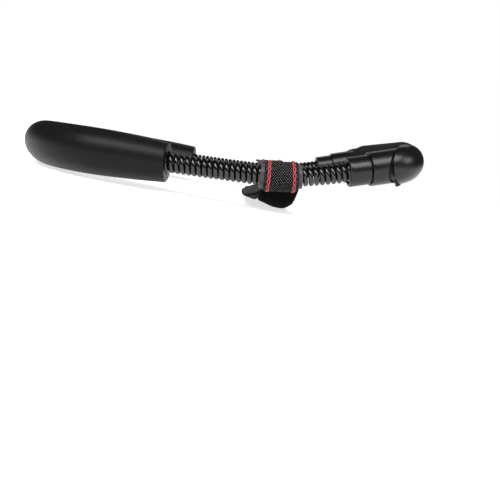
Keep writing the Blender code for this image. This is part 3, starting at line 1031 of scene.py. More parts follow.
def hand_over(piece: Piece, material: Material, slot: str, body: Body | None, *nodes: str) -> None:
    """Give a finished piece its material, hide the nodes that it stands for and attach it to its body.

    Args:
        piece: The finished object.
        material: Its material.
        slot: Name of its material slot; not used.
        body: The body that it rides on, or None where it bends between two.
        *nodes: The solids that it replaces.
    """
    piece.data.materials.clear()
    piece.data.materials.append(material)
    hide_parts(*nodes)
    if body:
        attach(piece, body.value)
    log.info("%s: %d faces", piece.name, len(piece.data.polygons))


def dress_nodes(material: Material, *nodes: str) -> None:
    """Give solids that stay in view a material.

    Args:
        material: The material.
        *nodes: Names of the solids.
    """
    for name in nodes:
        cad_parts[name].data.materials.clear()
        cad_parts[name].data.materials.append(material)
        log.info("%s: %s", name, material.name)


@dataclass
class ForearmFrame:
    """Foam sleeve over the bent tube.

    Attributes:
        leg: Length of each straight leg.
        hole: Radius of the sleeve's bore.
        thick: Radius of the sleeve.
        thin: Its radius at the open ends.
        taper: Length over which it gets thinner.
    """

    axis: SpringAxis
    leg: float = 47.5 * MM
    hole: float = 8.35 * MM
    thick: float = 16.9 * MM
    thin: float = 14.7 * MM
    taper: float = 60.0 * MM
    edge: float = 1.1 * MM
    edge_steps: int = 4
    steps: int = 84
    sides: int = 64
    leg_steps: int = 10
    bend_steps: int = 180
    skin: FoamSkin = FoamSkin("frame_foam_skin", (0.0068, 0.0068, 0.0070), (0.35, 0.43), 0.15)
    steel: DrawnSteel = DrawnSteel("frame_steel")

    @property
    def length(self) -> float:
        """Length of the sleeve along its middle line."""
        return 2 * self.leg + math.pi * self.axis.half_spacing

    def radius(self, place: float) -> float:
        """Outer radius at a distance from the right open end."""
        thinned = max(0.0, 1 - min(place, self.length - place) / self.taper)
        return self.thick - (self.thick - self.thin) * thinned * thinned

    def route(self) -> list[Vector]:
        """Lay the sleeve's middle line.

        Returns:
            Its points, from the right open end round to the left one.
        """
        place, half = self.axis.place(self.axis.foam_end), self.axis.half_spacing
        shares = [index / self.leg_steps for index in range(self.leg_steps)]
        turns = [math.pi * index / self.bend_steps for index in range(self.bend_steps + 1)]
        right = [Vector((-self.leg * share, -half, 0)) for share in shares]
        bend = [Vector((-self.leg - half * math.sin(turn), -half * math.cos(turn), 0)) for turn in turns]
        left = [Vector((point.x, half, 0)) for point in reversed(right)]
        return [place @ point for point in (*right, *bend, *left)]

    def build(self) -> None:
        """Make the foam sleeve and finish the steel inside it."""
        stations = rounded_ring(
            self.radius, self.hole, 0.0, self.length, self.edge, self.steps, self.edge_steps
        )
        sleeve = Bench.turn("frame_foam_cover", stations, self.sides)
        Bench.bend(sleeve, self.route())
        Bench.smooth(sleeve, degrees=50)
        hand_over(sleeve, self.skin.build(), "frame_foam", Body.FRAME, "foam_sleeve")
        dress_nodes(self.steel.build(), "frame_tube", *paired("frame_plug"), *paired("frame_pin"))


@dataclass
class CoilSprings:
    """Two coil springs, each in a part behind the middle of the strap and a part in front of it.

    Attributes:
        diameter: Outer diameter of the coil.
        wire: Diameter of the wire.
        rear_end: Distance of the rear end, inside the foam.
        front_end: Distance of the front end, inside the ferrule.
    """

    axis: SpringAxis
    diameter: float = 15.0 * MM
    wire: float = 3.8 * MM
    rear_end: float = -98.4 * MM
    front_end: float = 61.6 * MM
    rear_turns: int = 24
    front_turns: int = 15
    wire_sides: int = 14
    turn_steps: int = 32
    coat: SpringCoat = SpringCoat()

    def coil(self, name: str, start: float, end: float, turns: int, side: Side) -> Piece:
        """Wind one coil with whole turns and bend it along the axis.

        Args:
            name: The piece's name.
            start: Distance at which the wire starts.
            end: Distance at which it ends.
            turns: Number of its turns.
            side: Side of the part.

        Returns:
            The coil.
        """
        piece = Bench.add(
            name, bpy.ops.mesh.primitive_circle_add, vertices=self.wire_sides, radius=self.wire / 2,
            location=(0, 0, (self.diameter - self.wire) / 2), rotation=(QUARTER_TURN, 0, 0),
        )
        Bench.modify(
            piece, "SCREW", axis="X", angle=math.tau, screw_offset=(end - start) / turns, iterations=turns,
            steps=self.turn_steps, render_steps=self.turn_steps, use_merge_vertices=False,
        )
        Bench.cap_ends(piece)
        Bench.bend(piece, self.axis.route(start, end, side))
        Bench.smooth(piece, degrees=60)
        return piece

    def build(self) -> None:
        """Make both springs."""
        coat = self.coat.build()
        half_liner = self.axis.liner / 2
        for side in Side:
            node = f"spring_{side.label}"
            rear = self.coil(f"rear_coil_{side.label}", self.rear_end, 0.0, self.rear_turns, side)
            hand_over(rear, coat, "spring_black", None, node)
            start = self.axis.place(self.axis.foam_end, side).translation
            end = self.axis.place(-half_liner, side).translation
            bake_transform(rear)
            front = self.coil(f"front_coil_{side.label}", 0.0, self.front_end, self.front_turns, side)
            hand_over(front, coat, "spring_black", None, node)
            start = self.axis.place(half_liner, side).translation
            end = self.axis.place(self.axis.handle_start, side).translation
            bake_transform(front)


@dataclass
class SpringCollars:
    """Smooth plastic collar on each spring under the strap, with a round stop on top of its rear end.

    Attributes:
        knob_height: How far the stop stands out of the collar.
        knob_sunk: How deep it starts in the collar's wall.
        knob_shoulder: Radius of the rounding round its top.
        knob_overhang: How far it reaches past the collar's rear end.
        knob_pole: Radius of the circles that close it, small enough to merge into points.
    """

    axis: SpringAxis
    hole: float = 7.85 * MM
    radius: float = 9.05 * MM
    edge: float = 0.45 * MM
    steps: int = 14
    sides: int = 56
    knob_radius: float = 2.2 * MM
    knob_height: float = 1.7 * MM
    knob_sunk: float = 0.5 * MM
    knob_shoulder: float = 0.8 * MM
    knob_overhang: float = 2.1 * MM
    knob_pole: float = 0.001 * MM
    knob_steps: int = 4
    knob_sides: int = 24
    plastic: MouldedPlastic = MouldedPlastic("collar_plastic", (0.075, 0.068, 0.078), (0.30, 0.39), 0.2)

    def knob(self, name: str, side: Side) -> Piece:
        """Make the round stop, upright on the collar.

        Args:
            name: The piece's name.
            side: Side of the part.

        Returns:
            The stop.
        """
        low, high = self.radius - self.knob_sunk, self.radius + self.knob_height
        top = rounding(high, self.knob_radius, self.knob_shoulder, self.knob_steps, last=True)
        stations = [(low, self.knob_pole), (low, self.knob_radius), *top, (high, self.knob_pole)]
        piece = Bench.turn(name, stations, self.knob_sides)
        place = self.axis.place(-self.axis.liner / 2 + self.knob_radius - self.knob_overhang, side)
        Bench.put(piece, place @ Matrix.Rotation(-QUARTER_TURN, 4, "Y"))
        Bench.smooth(piece, degrees=45)
        return piece

    def build(self) -> None:
        """Make both collars."""
        plastic = self.plastic.build()
        length = self.axis.liner
        for side in Side:
            node = f"spring_liner_{side.label}"
            stations = rounded_ring(plain(self.radius), self.hole, 0.0, length, self.edge, self.steps)
            collar = Bench.turn(f"collar_{side.label}", stations, self.sides)
            Bench.bend(collar, self.axis.route(-length / 2, length / 2, side))
            Bench.smooth(collar)
            hand_over(collar, plastic, "liner_plastic", Body.CRADLE, node)
            stop = self.knob(f"collar_stop_{side.label}", side)
            hand_over(stop, plastic, "liner_plastic", Body.CRADLE, node)


@dataclass
class StrapLoops:
    """Knitted loop round each collar, with a red chain stitch near both edges.

    Attributes:
        belly: How much the loop's middle stands out past its edges.
        relief: Depth of the knit in the loop's surface.
        border: Width of the flatter edges, where the chain stitches lie.
        border_relief: Share of the relief that is left there.
        border_fade: Distance within which the full relief comes in.
        ovals: Links of the chain stitch round the loop.
        swing: Half the width between the two threads of a chain.
        thread: Radius of a thread.
        thread_lift: Middle height of a thread over the loop, in radii.
        thread_wave: How much it rises and falls where the threads cross, in radii.
    """

    axis: SpringAxis
    length: float = 25.0 * MM
    hole: float = 9.4 * MM
    radius: float = 11.1 * MM
    belly: float = 0.35 * MM
    edge: float = 0.7 * MM
    sides: int = 190
    steps: int = 90
    relief: float = 0.22 * MM
    border: float = 5.0 * MM
    border_relief: float = 0.25
    border_fade: float = 1.0 * MM
    stitch_inset: float = 3.3 * MM
    ovals: int = 15
    swing: float = 0.85 * MM
    thread: float = 0.43 * MM
    thread_lift: float = 0.35
    thread_wave: float = 0.45
    thread_sides: int = 8
    stitch_steps: int = 240
    webbing: DiamondWebbing = DiamondWebbing("knitted_webbing")
    stitching: SewingThread = SewingThread()

    def surface(self, place: float) -> float:
        """Radius of the loop's outside at a distance from its rear edge."""
        share = 2 * place / self.length - 1
        return self.radius - self.belly * share ** 4

    def knitted(self, point: Vector) -> Vector:
        """Sink the outside between the ribs of the knit.

        Args:
            point: Point of the plain loop.

        Returns:
            Its new place.
        """
        height = math.hypot(point.y, point.z)
        if height < self.surface(point.x) - self.edge / 2:
            return point
        around = math.atan2(point.y, point.z) * self.radius
        inside = min(point.x, self.length - point.x)
        full = min(1.0, max(0.0, (inside - self.border) / self.border_fade + 0.5))
        depth = self.relief * (self.border_relief + (1 - self.border_relief) * full)
        share = (height - depth * (1 - self.webbing.rib(around, point.x))) / height
        return Vector((point.x, point.y * share, point.z * share))

    def chain(self, name: str, place: float, phase: float, side: Side) -> Piece:
        """Sew one of the two threads of a chain stitch.

        Args:
            name: The piece's name.
            place: Distance of the chain from the loop's rear edge.
            phase: Where the thread's swing starts, in radians.
            side: Side of the part.

        Returns:
            The thread.
        """
        route = []
        for index in range(self.stitch_steps + 1):
            turn = math.tau * index / self.stitch_steps + math.pi
            wave = turn * self.ovals / 2 + phase
            along = place + self.swing * math.sin(wave)
            lift = self.thread * (self.thread_lift + self.thread_wave * math.cos(wave))
            height = self.surface(along) + lift
            section = self.axis.place(along - self.length / 2, side)
            route.append(section @ Vector((0, height * math.sin(turn), height * math.cos(turn))))
        return Bench.strand(name, route, self.thread, self.thread_sides)

    def build(self) -> None:
        """Make both loops and their stitching."""
        webbing, thread = self.webbing.build(), self.stitching.build()
        half = self.length / 2
        for side in Side:
            node = f"webbing_loop_{side.label}"
            stations = rounded_ring(self.surface, self.hole, 0.0, self.length, self.edge, self.steps)
            loop = Bench.turn(f"strap_loop_{side.label}", stations, self.sides)
            Bench.wrap(loop, self.radius)
            Bench.reshape(loop, self.knitted)
            Bench.bend(loop, self.axis.route(-half, half, side))
            Bench.smooth(loop)
            hand_over(loop, webbing, "webbing", Body.CRADLE, node)
            for word, place in (("rear", self.stitch_inset), ("front", self.length - self.stitch_inset)):
                for number, phase in enumerate((0.0, math.pi), 1):
                    chain = self.chain(f"{word}_stitch_{side.label}_{number}", place, phase, side)
                    hand_over(chain, thread, "webbing", Body.CRADLE, node)


@dataclass(frozen=True)
class SlingSurface:
    """Middle surface of the band: a flat with curled edges, rising to the loops on both sides.

    Attributes:
        flat: Length of the flat that the part rests on.
        flat_rear: Place of the flat's rear edge along X.
        flat_front: Place of its front edge.
        reach: Distance from the middle plane at which the rise would leave the flat if it were sharp.
        shift: Place of the band's middle line in front of the origin.
        curl: Height of the band's front edge over the flat.
        rear_curl: Height of its rear edge over the flat.
        rear_power: Exponent of the rise to the rear edge.
        outer_slope: Slope past the band's edges, for what lies on it.
        sag_depth: How far the cushion hangs down past the band's rear edge.
        sag_run: Distance within which it comes down.
        sewn_depth: How deep the band's ends lie in the loops' walls.
    """

    axis: SpringAxis
    width: float = 27.5 * MM
    thickness: float = 2.0 * MM
    flat: float = 28.0 * MM
    flat_rear: float = 3.0 * MM
    flat_front: float = 9.0 * MM
    reach: float = 42.0 * MM
    shift: float = 2.75 * MM
    curl: float = 4.6 * MM
    rear_curl: float = 4.0 * MM
    rear_power: float = 1.15
    outer_slope: float = 0.1
    sag_depth: float = 2.2 * MM
    sag_run: float = 4.0 * MM
    sewn_depth: float = 0.6 * MM
    loop_radius: float = StrapLoops.radius

    @property
    def rear(self) -> float:
        """Place of the band's rear edge."""
        return self.shift - self.width / 2

    def sag(self, x: float) -> float:
        """How far the cushion hangs down past the band's rear edge."""
        return self.sag_depth * ease(min(1.0, max(0.0, (self.rear - x) / self.sag_run)))

    def lift(self, x: float) -> float:
        """Curl of the band.

        Args:
            x: Place along X.

        Returns:
            Height over the flat.
        """
        rear, front = self.rear, self.shift + self.width / 2
        if x < self.flat_rear:
            share = (self.flat_rear - max(x, rear)) / (self.flat_rear - rear)
            return self.rear_curl * share ** self.rear_power + self.outer_slope * max(0.0, rear - x)
        share = max(0.0, min(x, front) - self.flat_front) / (front - self.flat_front)
        return self.curl * share ** 2 + self.outer_slope * max(0.0, x - front)

    def place(self, x: float, share: float, height: float) -> Vector:
        """Point over the surface.

        Args:
            x: Place along X.
            share: Share of its run, from the right loop (-1) to the left one (1).
            height: Height over the surface.

        Returns:
            The point.
        """
        side, middle = math.copysign(1.0, share), self.thickness / 2
        first, knee = Vector((0, self.flat / 2, middle)), Vector((0, self.reach, middle))
        hub = Vector((0, self.axis.half_spacing, self.axis.height))
        end = hub + (knee - hub).normalized() * (self.loop_radius - self.sewn_depth)
        flat_share = first.y / (first.y + (end - first).length)
        turn = max(0.0, (abs(share) - flat_share) / (1 - flat_share))
        point = first * (1 - turn) ** 2 + knee * (2 * turn * (1 - turn)) + end * turn ** 2
        run = ((knee - first) * (1 - turn) + (end - knee) * turn).normalized()
        weight = ease(turn)
        rise = weight * x * math.tan(self.axis.slope(0.0))
        over = height + (1 - weight) * self.lift(x)
        y = point.y if turn else point.y * min(1.0, abs(share) / flat_share)
        return Vector((x, side * (y - run.z * over), point.z + rise + run.y * over))


@dataclass
class WristSling:
    """Woven band from loop to loop under the wrist, and the bound cushion on it.

    Attributes:
        rows: Parts that the band is divided into across the part.
        columns: Parts that it is divided into along X.
        pad_width: Width of the cushion in its middle.
        pad_end_width: Its width at both ends.
        shift: Place of the cushion's middle line behind the origin.
        pad_thickness: Its thickness in the middle, over the band's flat.
        pad_edge: Its least thickness.
        pad_gap: Gap between it and the band, before it swells.
        share: Share of the band's run that the cushion covers.
        corner_power: Exponent of the cushion's outline, between an oval (2) and a rectangle.
        end_fullness: Share of the thickness that is left at its ends.
        edge_fullness: Share that is left at its front and rear edges.
        inset: How much smaller than its finished form the cushion is before it swells.
        cap: How far a point may move as it swells.
        most_drawn: Most that the inset takes of the thickness, on each side.
        channel_side: Place of the sewn channel, as a share of the half width.
        channel_end: Its place as a share of the half length.
        piping: Radius of the binding.
    """

    axis: SpringAxis
    rows: int = 110
    columns: int = 30
    edge: float = 0.5 * MM
    pad_width: float = 42.0 * MM
    pad_end_width: float = 38.0 * MM
    shift: float = -6.0 * MM
    pad_thickness: float = 11.0 * MM
    pad_edge: float = 3.0 * MM
    pad_gap: float = 0.5 * MM
    share: float = 0.86
    corner_power: float = 3.4
    end_fullness: float = 0.2
    end_power: int = 3
    edge_fullness: float = 0.3
    edge_power: int = 4
    pad_cuts: int = 35
    inset: float = 0.9 * MM
    most_drawn: float = 1 / 3
    cap: float = 1.3 * MM
    pressure: float = 4.0
    frames: int = 20
    channel_side: float = 0.72
    channel_end: float = 0.86
    channel_width: float = 1.6 * MM
    channel_depth: float = 0.9 * MM
    channel_steps: int = 240
    piping: float = 0.85 * MM
    piping_sides: int = 10
    piping_steps: int = 220
    piping_smoothing: int = 8
    band_cloth: WovenCloth = WovenCloth(
        "band_cloth", (0.0018, 0.0016, 0.0015), 1900.0, 0.06 * MM, roughness=0.85, sheen=0.0, gloss=0.04
    )
    pad_cloth: WovenCloth = WovenCloth(
        "cushion_cloth", (0.024, 0.026, 0.022), 1500.0, 0.06 * MM, roughness=0.85, sheen=0.06
    )
    binding: WovenCloth = WovenCloth(
        "binding_tape", (0.0060, 0.0058, 0.0055), 2600.0, 0.05 * MM, roughness=0.8, sheen=0.02, gloss=0.15
    )

    @property
    def surface(self) -> SlingSurface:
        """Middle surface of the band."""
        return SlingSurface(self.axis)

    def band(self) -> Piece:
        """Make the band: a grid laid on the surface, with a wall and rounded edges.

        Returns:
            The band.
        """
        add_grid = bpy.ops.mesh.primitive_grid_add
        piece = Bench.add(
            "wrist_band", add_grid, x_subdivisions=self.columns, y_subdivisions=self.rows, size=2.0
        )
        surface = self.surface
        Bench.reshape(
            piece, lambda point: surface.place(surface.shift + point.x * surface.width / 2, point.y, 0.0)
        )
        Bench.close(piece)
        Bench.modify(piece, "SOLIDIFY", thickness=surface.thickness, offset=0.0, use_even_offset=True)
        Bench.soften(piece, self.edge)
        Bench.smooth(piece)
        return piece

    def outline(self, x: float, y: float) -> tuple[float, float]:
        """Bring a point of the square from -1 to 1 into the cushion's rounded outline.

        Args:
            x: Share across the square.
            y: Share along it.

        Returns:
            Both shares in the outline.
        """
        reach = max(abs(x), abs(y))
        norm = (abs(x) ** self.corner_power + abs(y) ** self.corner_power) ** (1 / self.corner_power)
        return (x * reach / norm, y * reach / norm) if norm else (0.0, 0.0)

    def rim(self, turn: float) -> tuple[float, float]:
        """Point on the cushion's outline.

        Args:
            turn: Its angle, in radians.

        Returns:
            Shares of the half width and the half length.
        """
        x, y = math.cos(turn), math.sin(turn)
        reach = max(abs(x), abs(y))
        return self.outline(x / reach, y / reach)

    @staticmethod
    def crown(share: float, fullness: float, power: int) -> float:
        """Share of the thickness at a place between the middle (0) and an edge (1)."""
        return fullness + (1 - fullness) * math.sqrt(max(0.0, 1 - abs(share) ** power))

    def pad_place(self, across: float, along: float, through: float, inset: float) -> Vector:
        """Point of the cushion.

        Args:
            across: Share of its half width.
            along: Share of its half length.
            through: Share of its thickness, from 0 at the band to 1 on top.
            inset: How far its skin is drawn in.

        Returns:
            The point.
        """
        half = (self.pad_width + (self.pad_end_width - self.pad_width) * along ** 2) / 2
        x = self.shift + across * (half - inset)
        sag = self.surface.sag(x)
        full = self.pad_thickness * self.crown(along, self.end_fullness, self.end_power)
        full = full - self.surface.lift(x) + sag
        full = max(self.pad_edge, full * self.crown(across, self.edge_fullness, self.edge_power))
        drawn = min(inset, full * self.most_drawn)
        height = self.surface.thickness / 2 + self.pad_gap - sag + drawn + (full - 2 * drawn) * through
        return self.surface.place(x, along * self.share * (1 - inset / (self.pad_width / 2)), height)

    def cushion(self) -> Piece:
        """Make the cushion, swell it as cloth and sew a channel inside its edge.

        Returns:
            The cushion.
        """
        piece = Bench.add("wrist_cushion", bpy.ops.mesh.primitive_cube_add, size=2.0)
        with Bench.editing(piece):
            bpy.ops.mesh.subdivide(number_cuts=self.pad_cuts)
        inset = self.inset
        Bench.reshape(piece, lambda at: self.pad_place(*self.outline(at.x, at.y), (at.z + 1) / 2, inset))
        Bench.close(piece)
        Bench.swell(piece, self.pressure, self.frames, self.cap)
        Bench.modify(piece, "SUBSURF", levels=1, render_levels=1)
        self.sew(piece)
        Bench.smooth(piece, degrees=60)
        return piece

    def sew(self, piece: Piece) -> None:
        """Press a sewn channel into the cushion's top, inside its edge.

        Args:
            piece: The cushion.
        """
        side, end, count = self.channel_side, self.channel_end, self.channel_steps
        rims = [self.rim(math.tau * index / count) for index in range(count)]
        line = [self.pad_place(across * side, along * end, through=1.0, inset=0.0) for across, along in rims]
        tree = tree_of(line)

        def pressed(point: Vector) -> Vector:
            """Press one point down.

            Args:
                point: Point of the cushion.

            Returns:
                Its new place, unless it lies well below the channel.
            """
            near, _, away = tree.find(point)
            depth = self.channel_depth * math.exp(-(away / self.channel_width) ** 2)
            return point - Vector((0, 0, depth)) if near.z - point.z < self.channel_width else point

        Bench.reshape(piece, pressed)

    def edging(self, cushion: Piece) -> Piece:
        """Make the round binding along the cushion's edge.

        Args:
            cushion: The finished cushion.

        Returns:
            The binding.
        """
        tree = tree_of([point.co for point in cushion.data.vertices])
        count = self.piping_steps
        rims = [self.rim(math.tau * index / count) for index in range(count)]
        middles = [self.pad_place(across, along, through=0.5, inset=0.0) for across, along in rims]
        spots = [tree.find(middle)[0].copy() for middle in middles]
        for _ in range(self.piping_smoothing):
            nexts = [*spots[1:], spots[0]]
            spots = [(spots[index - 1] + spots[index] * 2 + nexts[index]) / 4 for index in range(count)]
        return Bench.strand("cushion_binding", [*spots, spots[0]], self.piping, self.piping_sides)

    def build(self) -> None:
        """Make the band, the cushion and its binding."""
        hand_over(self.band(), self.band_cloth.build(), "sling_fabric", Body.CRADLE, "sling_band")
        cushion = self.cushion()
        hand_over(cushion, self.pad_cloth.build(), "pad_fabric", Body.CRADLE, "wrist_pad")
        hand_over(self.edging(cushion), self.binding.build(), "pad_fabric", Body.CRADLE, "wrist_pad")


@dataclass
class Handle:
    """Ferrules, sleeves, corner bodies and corner caps, each along the handle's axis on its side.

    Attributes:
        ferrule_lip: Radius of the rounding round the ferrule's mouth.
        ferrule_mouth: Rounding inside its mouth: places along X, and how much wider than the hole it is.
        ferrule_rings: Places of the rings of edges on its wall.
        ferrule_end: Rounding of its closed end: places from that end, and how far the wall draws in.
        ferrule_floor: Thickness of its closed end.
        corner_start: Place of the sleeve's rear end along the handle's axis.
        bend: Radius at which the corner's middle line bends.
        tail: How far the corner goes on along the rod after its bend.
        cut_distance: Place of the cut between sleeve and cap.
        cut_angle: Angle of the cut, in degrees.
        cap_gap: Width of the gap at the cut.
        flare: How much wider the gap is below than above, as a slope.
        lug: Size of the lug in the gap.
        lug_middle: How far it lies below the corner's middle line.
    """

    axis: SpringAxis
    ferrule_radius: float = 11.0 * MM
    ferrule_length: float = 16.0 * MM
    ferrule_hole: float = 8.2 * MM
    ferrule_floor: float = 1.8 * MM
    ferrule_lip: float = 1.1 * MM
    ferrule_lip_steps: int = 4
    ferrule_mouth: tuple[Station, ...] = ((0.7 * MM, 0.0), (0.15 * MM, 0.35 * MM), (0.0, 0.8 * MM))
    ferrule_rings: tuple[float, ...] = (4.0 * MM, 7.0 * MM, 10.0 * MM, 13.0 * MM)
    ferrule_end: tuple[Station, ...] = ((-0.7 * MM, 0.0), (-0.35 * MM, -0.12 * MM), (0.0, -0.55 * MM))
    ferrule_sides: int = 64
    spigot_hole: float = 3.7 * MM
    sleeve_radius: float = 12.5 * MM
    sleeve_hole: float = 10.8 * MM
    core_radius: float = 10.5 * MM
    corner_start: float = 15.9 * MM
    bend: float = 14.8 * MM
    tail: float = 0.6 * MM
    straight_steps: int = 12
    bend_steps: int = 32
    tube_edge: float = 0.3 * MM
    tube_steps: int = 48
    tube_sides: int = 72
    cap_radius: float = 14.3 * MM
    cut_distance: float = 40.0 * MM
    cut_angle: float = 37.0
    cap_gap: float = 3.0 * MM
    flare: float = 0.16
    lug: tuple[float, float, float] = (2.4 * MM, 7.0 * MM, 10.35 * MM)
    lug_middle: float = 10.4 * MM
    lug_edge: float = 0.6 * MM
    edge: float = 0.5 * MM
    socket: MouldedPlastic = MouldedPlastic("socket_plastic", (0.0045, 0.0045, 0.0048), (0.25, 0.34), 0.4)
    body: MouldedPlastic = MouldedPlastic("corner_plastic", (0.006, 0.006, 0.006), (0.36, 0.45), 0.25)
    nylon: MouldedPlastic = MouldedPlastic("black_nylon", (0.014, 0.014, 0.0145), (0.41, 0.50), 0.3)
    steel: DrawnSteel = DrawnSteel("handle_steel")

    @property
    def bend_start(self) -> float:
        """Place where the corner's middle line starts to bend."""
        return self.axis.rod - self.bend

    @property
    def length(self) -> float:
        """Length of the corner's middle line from its start."""
        return self.bend_start - self.corner_start + self.bend * QUARTER_TURN + self.tail

    def route(self, side: Side) -> list[Vector]:
        """Lay the corner's middle line.

        Args:
            side: Side of the part.

        Returns:
            Its points, round to the rod's axis.
        """
        place, inwards = self.axis.handle(side), -side.value
        step = (self.bend_start - self.corner_start) / self.straight_steps
        points = [(self.corner_start + step * index, 0.0) for index in range(self.straight_steps)]
        for index in range(self.bend_steps + 1):
            turn = QUARTER_TURN * index / self.bend_steps
            x, y = self.bend * math.sin(turn), self.bend * (1 - math.cos(turn))
            points.append((self.bend_start + x, inwards * y))
        points.append((self.axis.rod, inwards * (self.bend + self.tail)))
        return [place @ Vector((x, y, 0)) for x, y in points]

    def cut_plane(self, side: Side, offset: float = 0.0, flare: float = 0.0) -> Matrix:
        """Frame on the cap's cut, its X axis towards the outer corner.

        Args:
            side: Side of the part.
            offset: How far the frame is moved along its X axis.
            flare: Slope by which the plane draws back below.

        Returns:
            The frame.
        """
        angle = math.radians(self.cut_angle)
        normal = Vector((math.cos(angle), side.value * math.sin(angle), -flare)).normalized()
        across = Vector((0, 0, 1)).cross(normal).normalized()
        turn = Matrix((normal, across, normal.cross(across))).transposed().to_4x4()
        middle = Vector((self.cut_distance, 0, 0)) + normal * offset
        return self.axis.handle(side) @ Matrix.Translation(middle) @ turn

    def ferrule(self, side: Side) -> Piece:
        """Turn the small sleeve that takes the spring's end.

        Args:
            side: Side of the part.

        Returns:
            The ferrule.
        """
        outer, length, hole = self.ferrule_radius, self.ferrule_length, self.ferrule_hole
        stop = length - self.ferrule_floor
        mouth = [(x, hole + width) for x, width in self.ferrule_mouth]
        lip = rounding(0.0, outer, self.ferrule_lip, self.ferrule_lip_steps)
        wall = [(x, outer) for x in self.ferrule_rings]
        closed = [(length + x, outer + width) for x, width in self.ferrule_end]
        inside = [(length, self.spigot_hole), (stop, self.spigot_hole), (stop, hole), (stop / 2, hole)]
        stations = [*mouth, *lip, *wall, *closed, *inside]
        piece = Bench.turn(f"ferrule_{side.label}", stations, self.ferrule_sides)
        Bench.put(piece, self.axis.handle(side))
        Bench.smooth(piece)
        return piece

    def tube(self, name: str, outer: float, inner: float, side: Side) -> Piece:
        """Make a tube along the corner's middle line.

        Args:
            name: The piece's name.
            outer: Outer radius.
            inner: Inner radius.
            side: Side of the part.

        Returns:
            The tube.
        """
        stations = rounded_ring(plain(outer), inner, 0.0, self.length, self.tube_edge, self.tube_steps)
        piece = Bench.turn(name, stations, self.tube_sides)
        Bench.bend(piece, self.route(side))
        return piece

    def build_corner(self, side: Side, plastic: Material, dark: Material) -> None:
        """Make the sleeve, the cap and the body between them with its lug.

        Args:
            side: Side of the part.
            plastic: Material of the sleeve and the cap.
            dark: Material of the body.
        """
        sleeve = self.tube(f"sleeve_{side.label}", self.sleeve_radius, self.sleeve_hole, side)
        Bench.slice(sleeve, self.cut_plane(side, -self.cap_gap, self.flare), keep_front=False)
        Bench.soften(sleeve, self.edge)
        Bench.smooth(sleeve)
        hand_over(sleeve, plastic, "socket_plastic", Body.HANDLE, f"socket_sleeve_{side.label}")
        cap = self.tube(f"cap_{side.label}", self.cap_radius, self.sleeve_hole, side)
        Bench.slice(cap, self.cut_plane(side), keep_front=True)
        Bench.soften(cap, self.edge)
        Bench.smooth(cap)
        hand_over(cap, plastic, "cap_plastic", Body.HANDLE, f"corner_cap_{side.label}")
        core = self.tube(f"corner_body_{side.label}", self.core_radius, self.spigot_hole, side)
        Bench.smooth(core)
        hand_over(core, dark, "core_plastic", Body.HANDLE, f"elbow_core_{side.label}")
        lug = Bench.add(
            f"corner_lug_{side.label}", bpy.ops.mesh.primitive_cube_add, size=1.0, scale=self.lug
        )
        Bench.soften(lug, self.lug_edge)
        Bench.put(lug, self.cut_plane(side, -self.cap_gap) @ Matrix.Translation((0, 0, -self.lug_middle)))
        Bench.smooth(lug)
        hand_over(lug, dark, "core_plastic", Body.HANDLE, f"elbow_core_{side.label}")

    def build(self) -> None:
        """Make both ends of the handle, and finish the steel inside them."""
        plastic, dark = self.socket.build(), self.body.build()
        for side in Side:
            ferrule = self.ferrule(side)
            hand_over(ferrule, plastic, "socket_plastic", Body.HANDLE, f"spring_ferrule_{side.label}")
            self.build_corner(side, plastic, dark)
        steel = [*paired("handle_spigot"), *paired("handle_pin"), "handle_rod", *paired("rod_screw")]
        dress_nodes(self.steel.build(), *steel)
        dress_nodes(self.nylon.build(), *paired("thrust_washer"), "grip_tube")


@dataclass
class Grip:
    """Foam cover of the turning grip.

    Attributes:
        reach: Half its length.
    """

    axis: SpringAxis
    radius: float = 16.0 * MM
    hole: float = 9.0 * MM
    reach: float = 47.8 * MM
    edge: float = 2.0 * MM
    edge_steps: int = 5
    steps: int = 24
    sides: int = 64
    skin: FoamSkin = FoamSkin("grip_foam_skin", (0.011, 0.011, 0.0115), (0.57, 0.65), 0.12)

    def build(self) -> None:
        """Make the cover."""
        stations = rounded_ring(
            plain(self.radius), self.hole, -self.reach, self.reach, self.edge, self.steps, self.edge_steps
        )
        cover = Bench.turn("grip_cover", stations, self.sides)
        rod = Matrix.Translation((self.axis.rod, 0, 0)) @ Matrix.Rotation(QUARTER_TURN, 4, "Z")
        Bench.put(cover, self.axis.handle() @ rod)
        Bench.smooth(cover)
        hand_over(cover, self.skin.build(), "grip_foam", Body.GRIP, "grip_foam")


@dataclass(frozen=True)
class Camera:
    """Camera at the photograph's viewing angle.

    The photograph looks at the part turned about its own Y axis, so the camera is rolled by that angle.

    Attributes:
        roll: Angle of the roll, in degrees.
        pitch: How far the camera looks down, in degrees.
        lens: Focal length, in millimetres.
        nearest: Nearest distance that it shows.
    """

    place: tuple[float, float, float] = (-25.1 * MM, -345.0 * MM, 38.0 * MM)
    roll: float = 11.35
    pitch: float = 14.1
    lens: float = 26.63
    nearest: float = 10.0 * MM

    def build(self) -> None:
        """Make the camera and look through it."""
        data = bpy.data.cameras.new("camera")
        data.lens = self.lens
        data.clip_start = self.nearest
        camera = bpy.data.objects.new("camera", data)
        bpy.context.scene.collection.objects.link(camera)
        level = Matrix.Rotation(-math.radians(self.roll), 4, "Y") @ Matrix.Rotation(QUARTER_TURN, 4, "X")
        turn = Matrix.Rotation(-math.radians(self.pitch), 4, "X")
        camera.matrix_world = Matrix.Translation(self.place) @ level @ turn
        bpy.context.scene.camera = camera


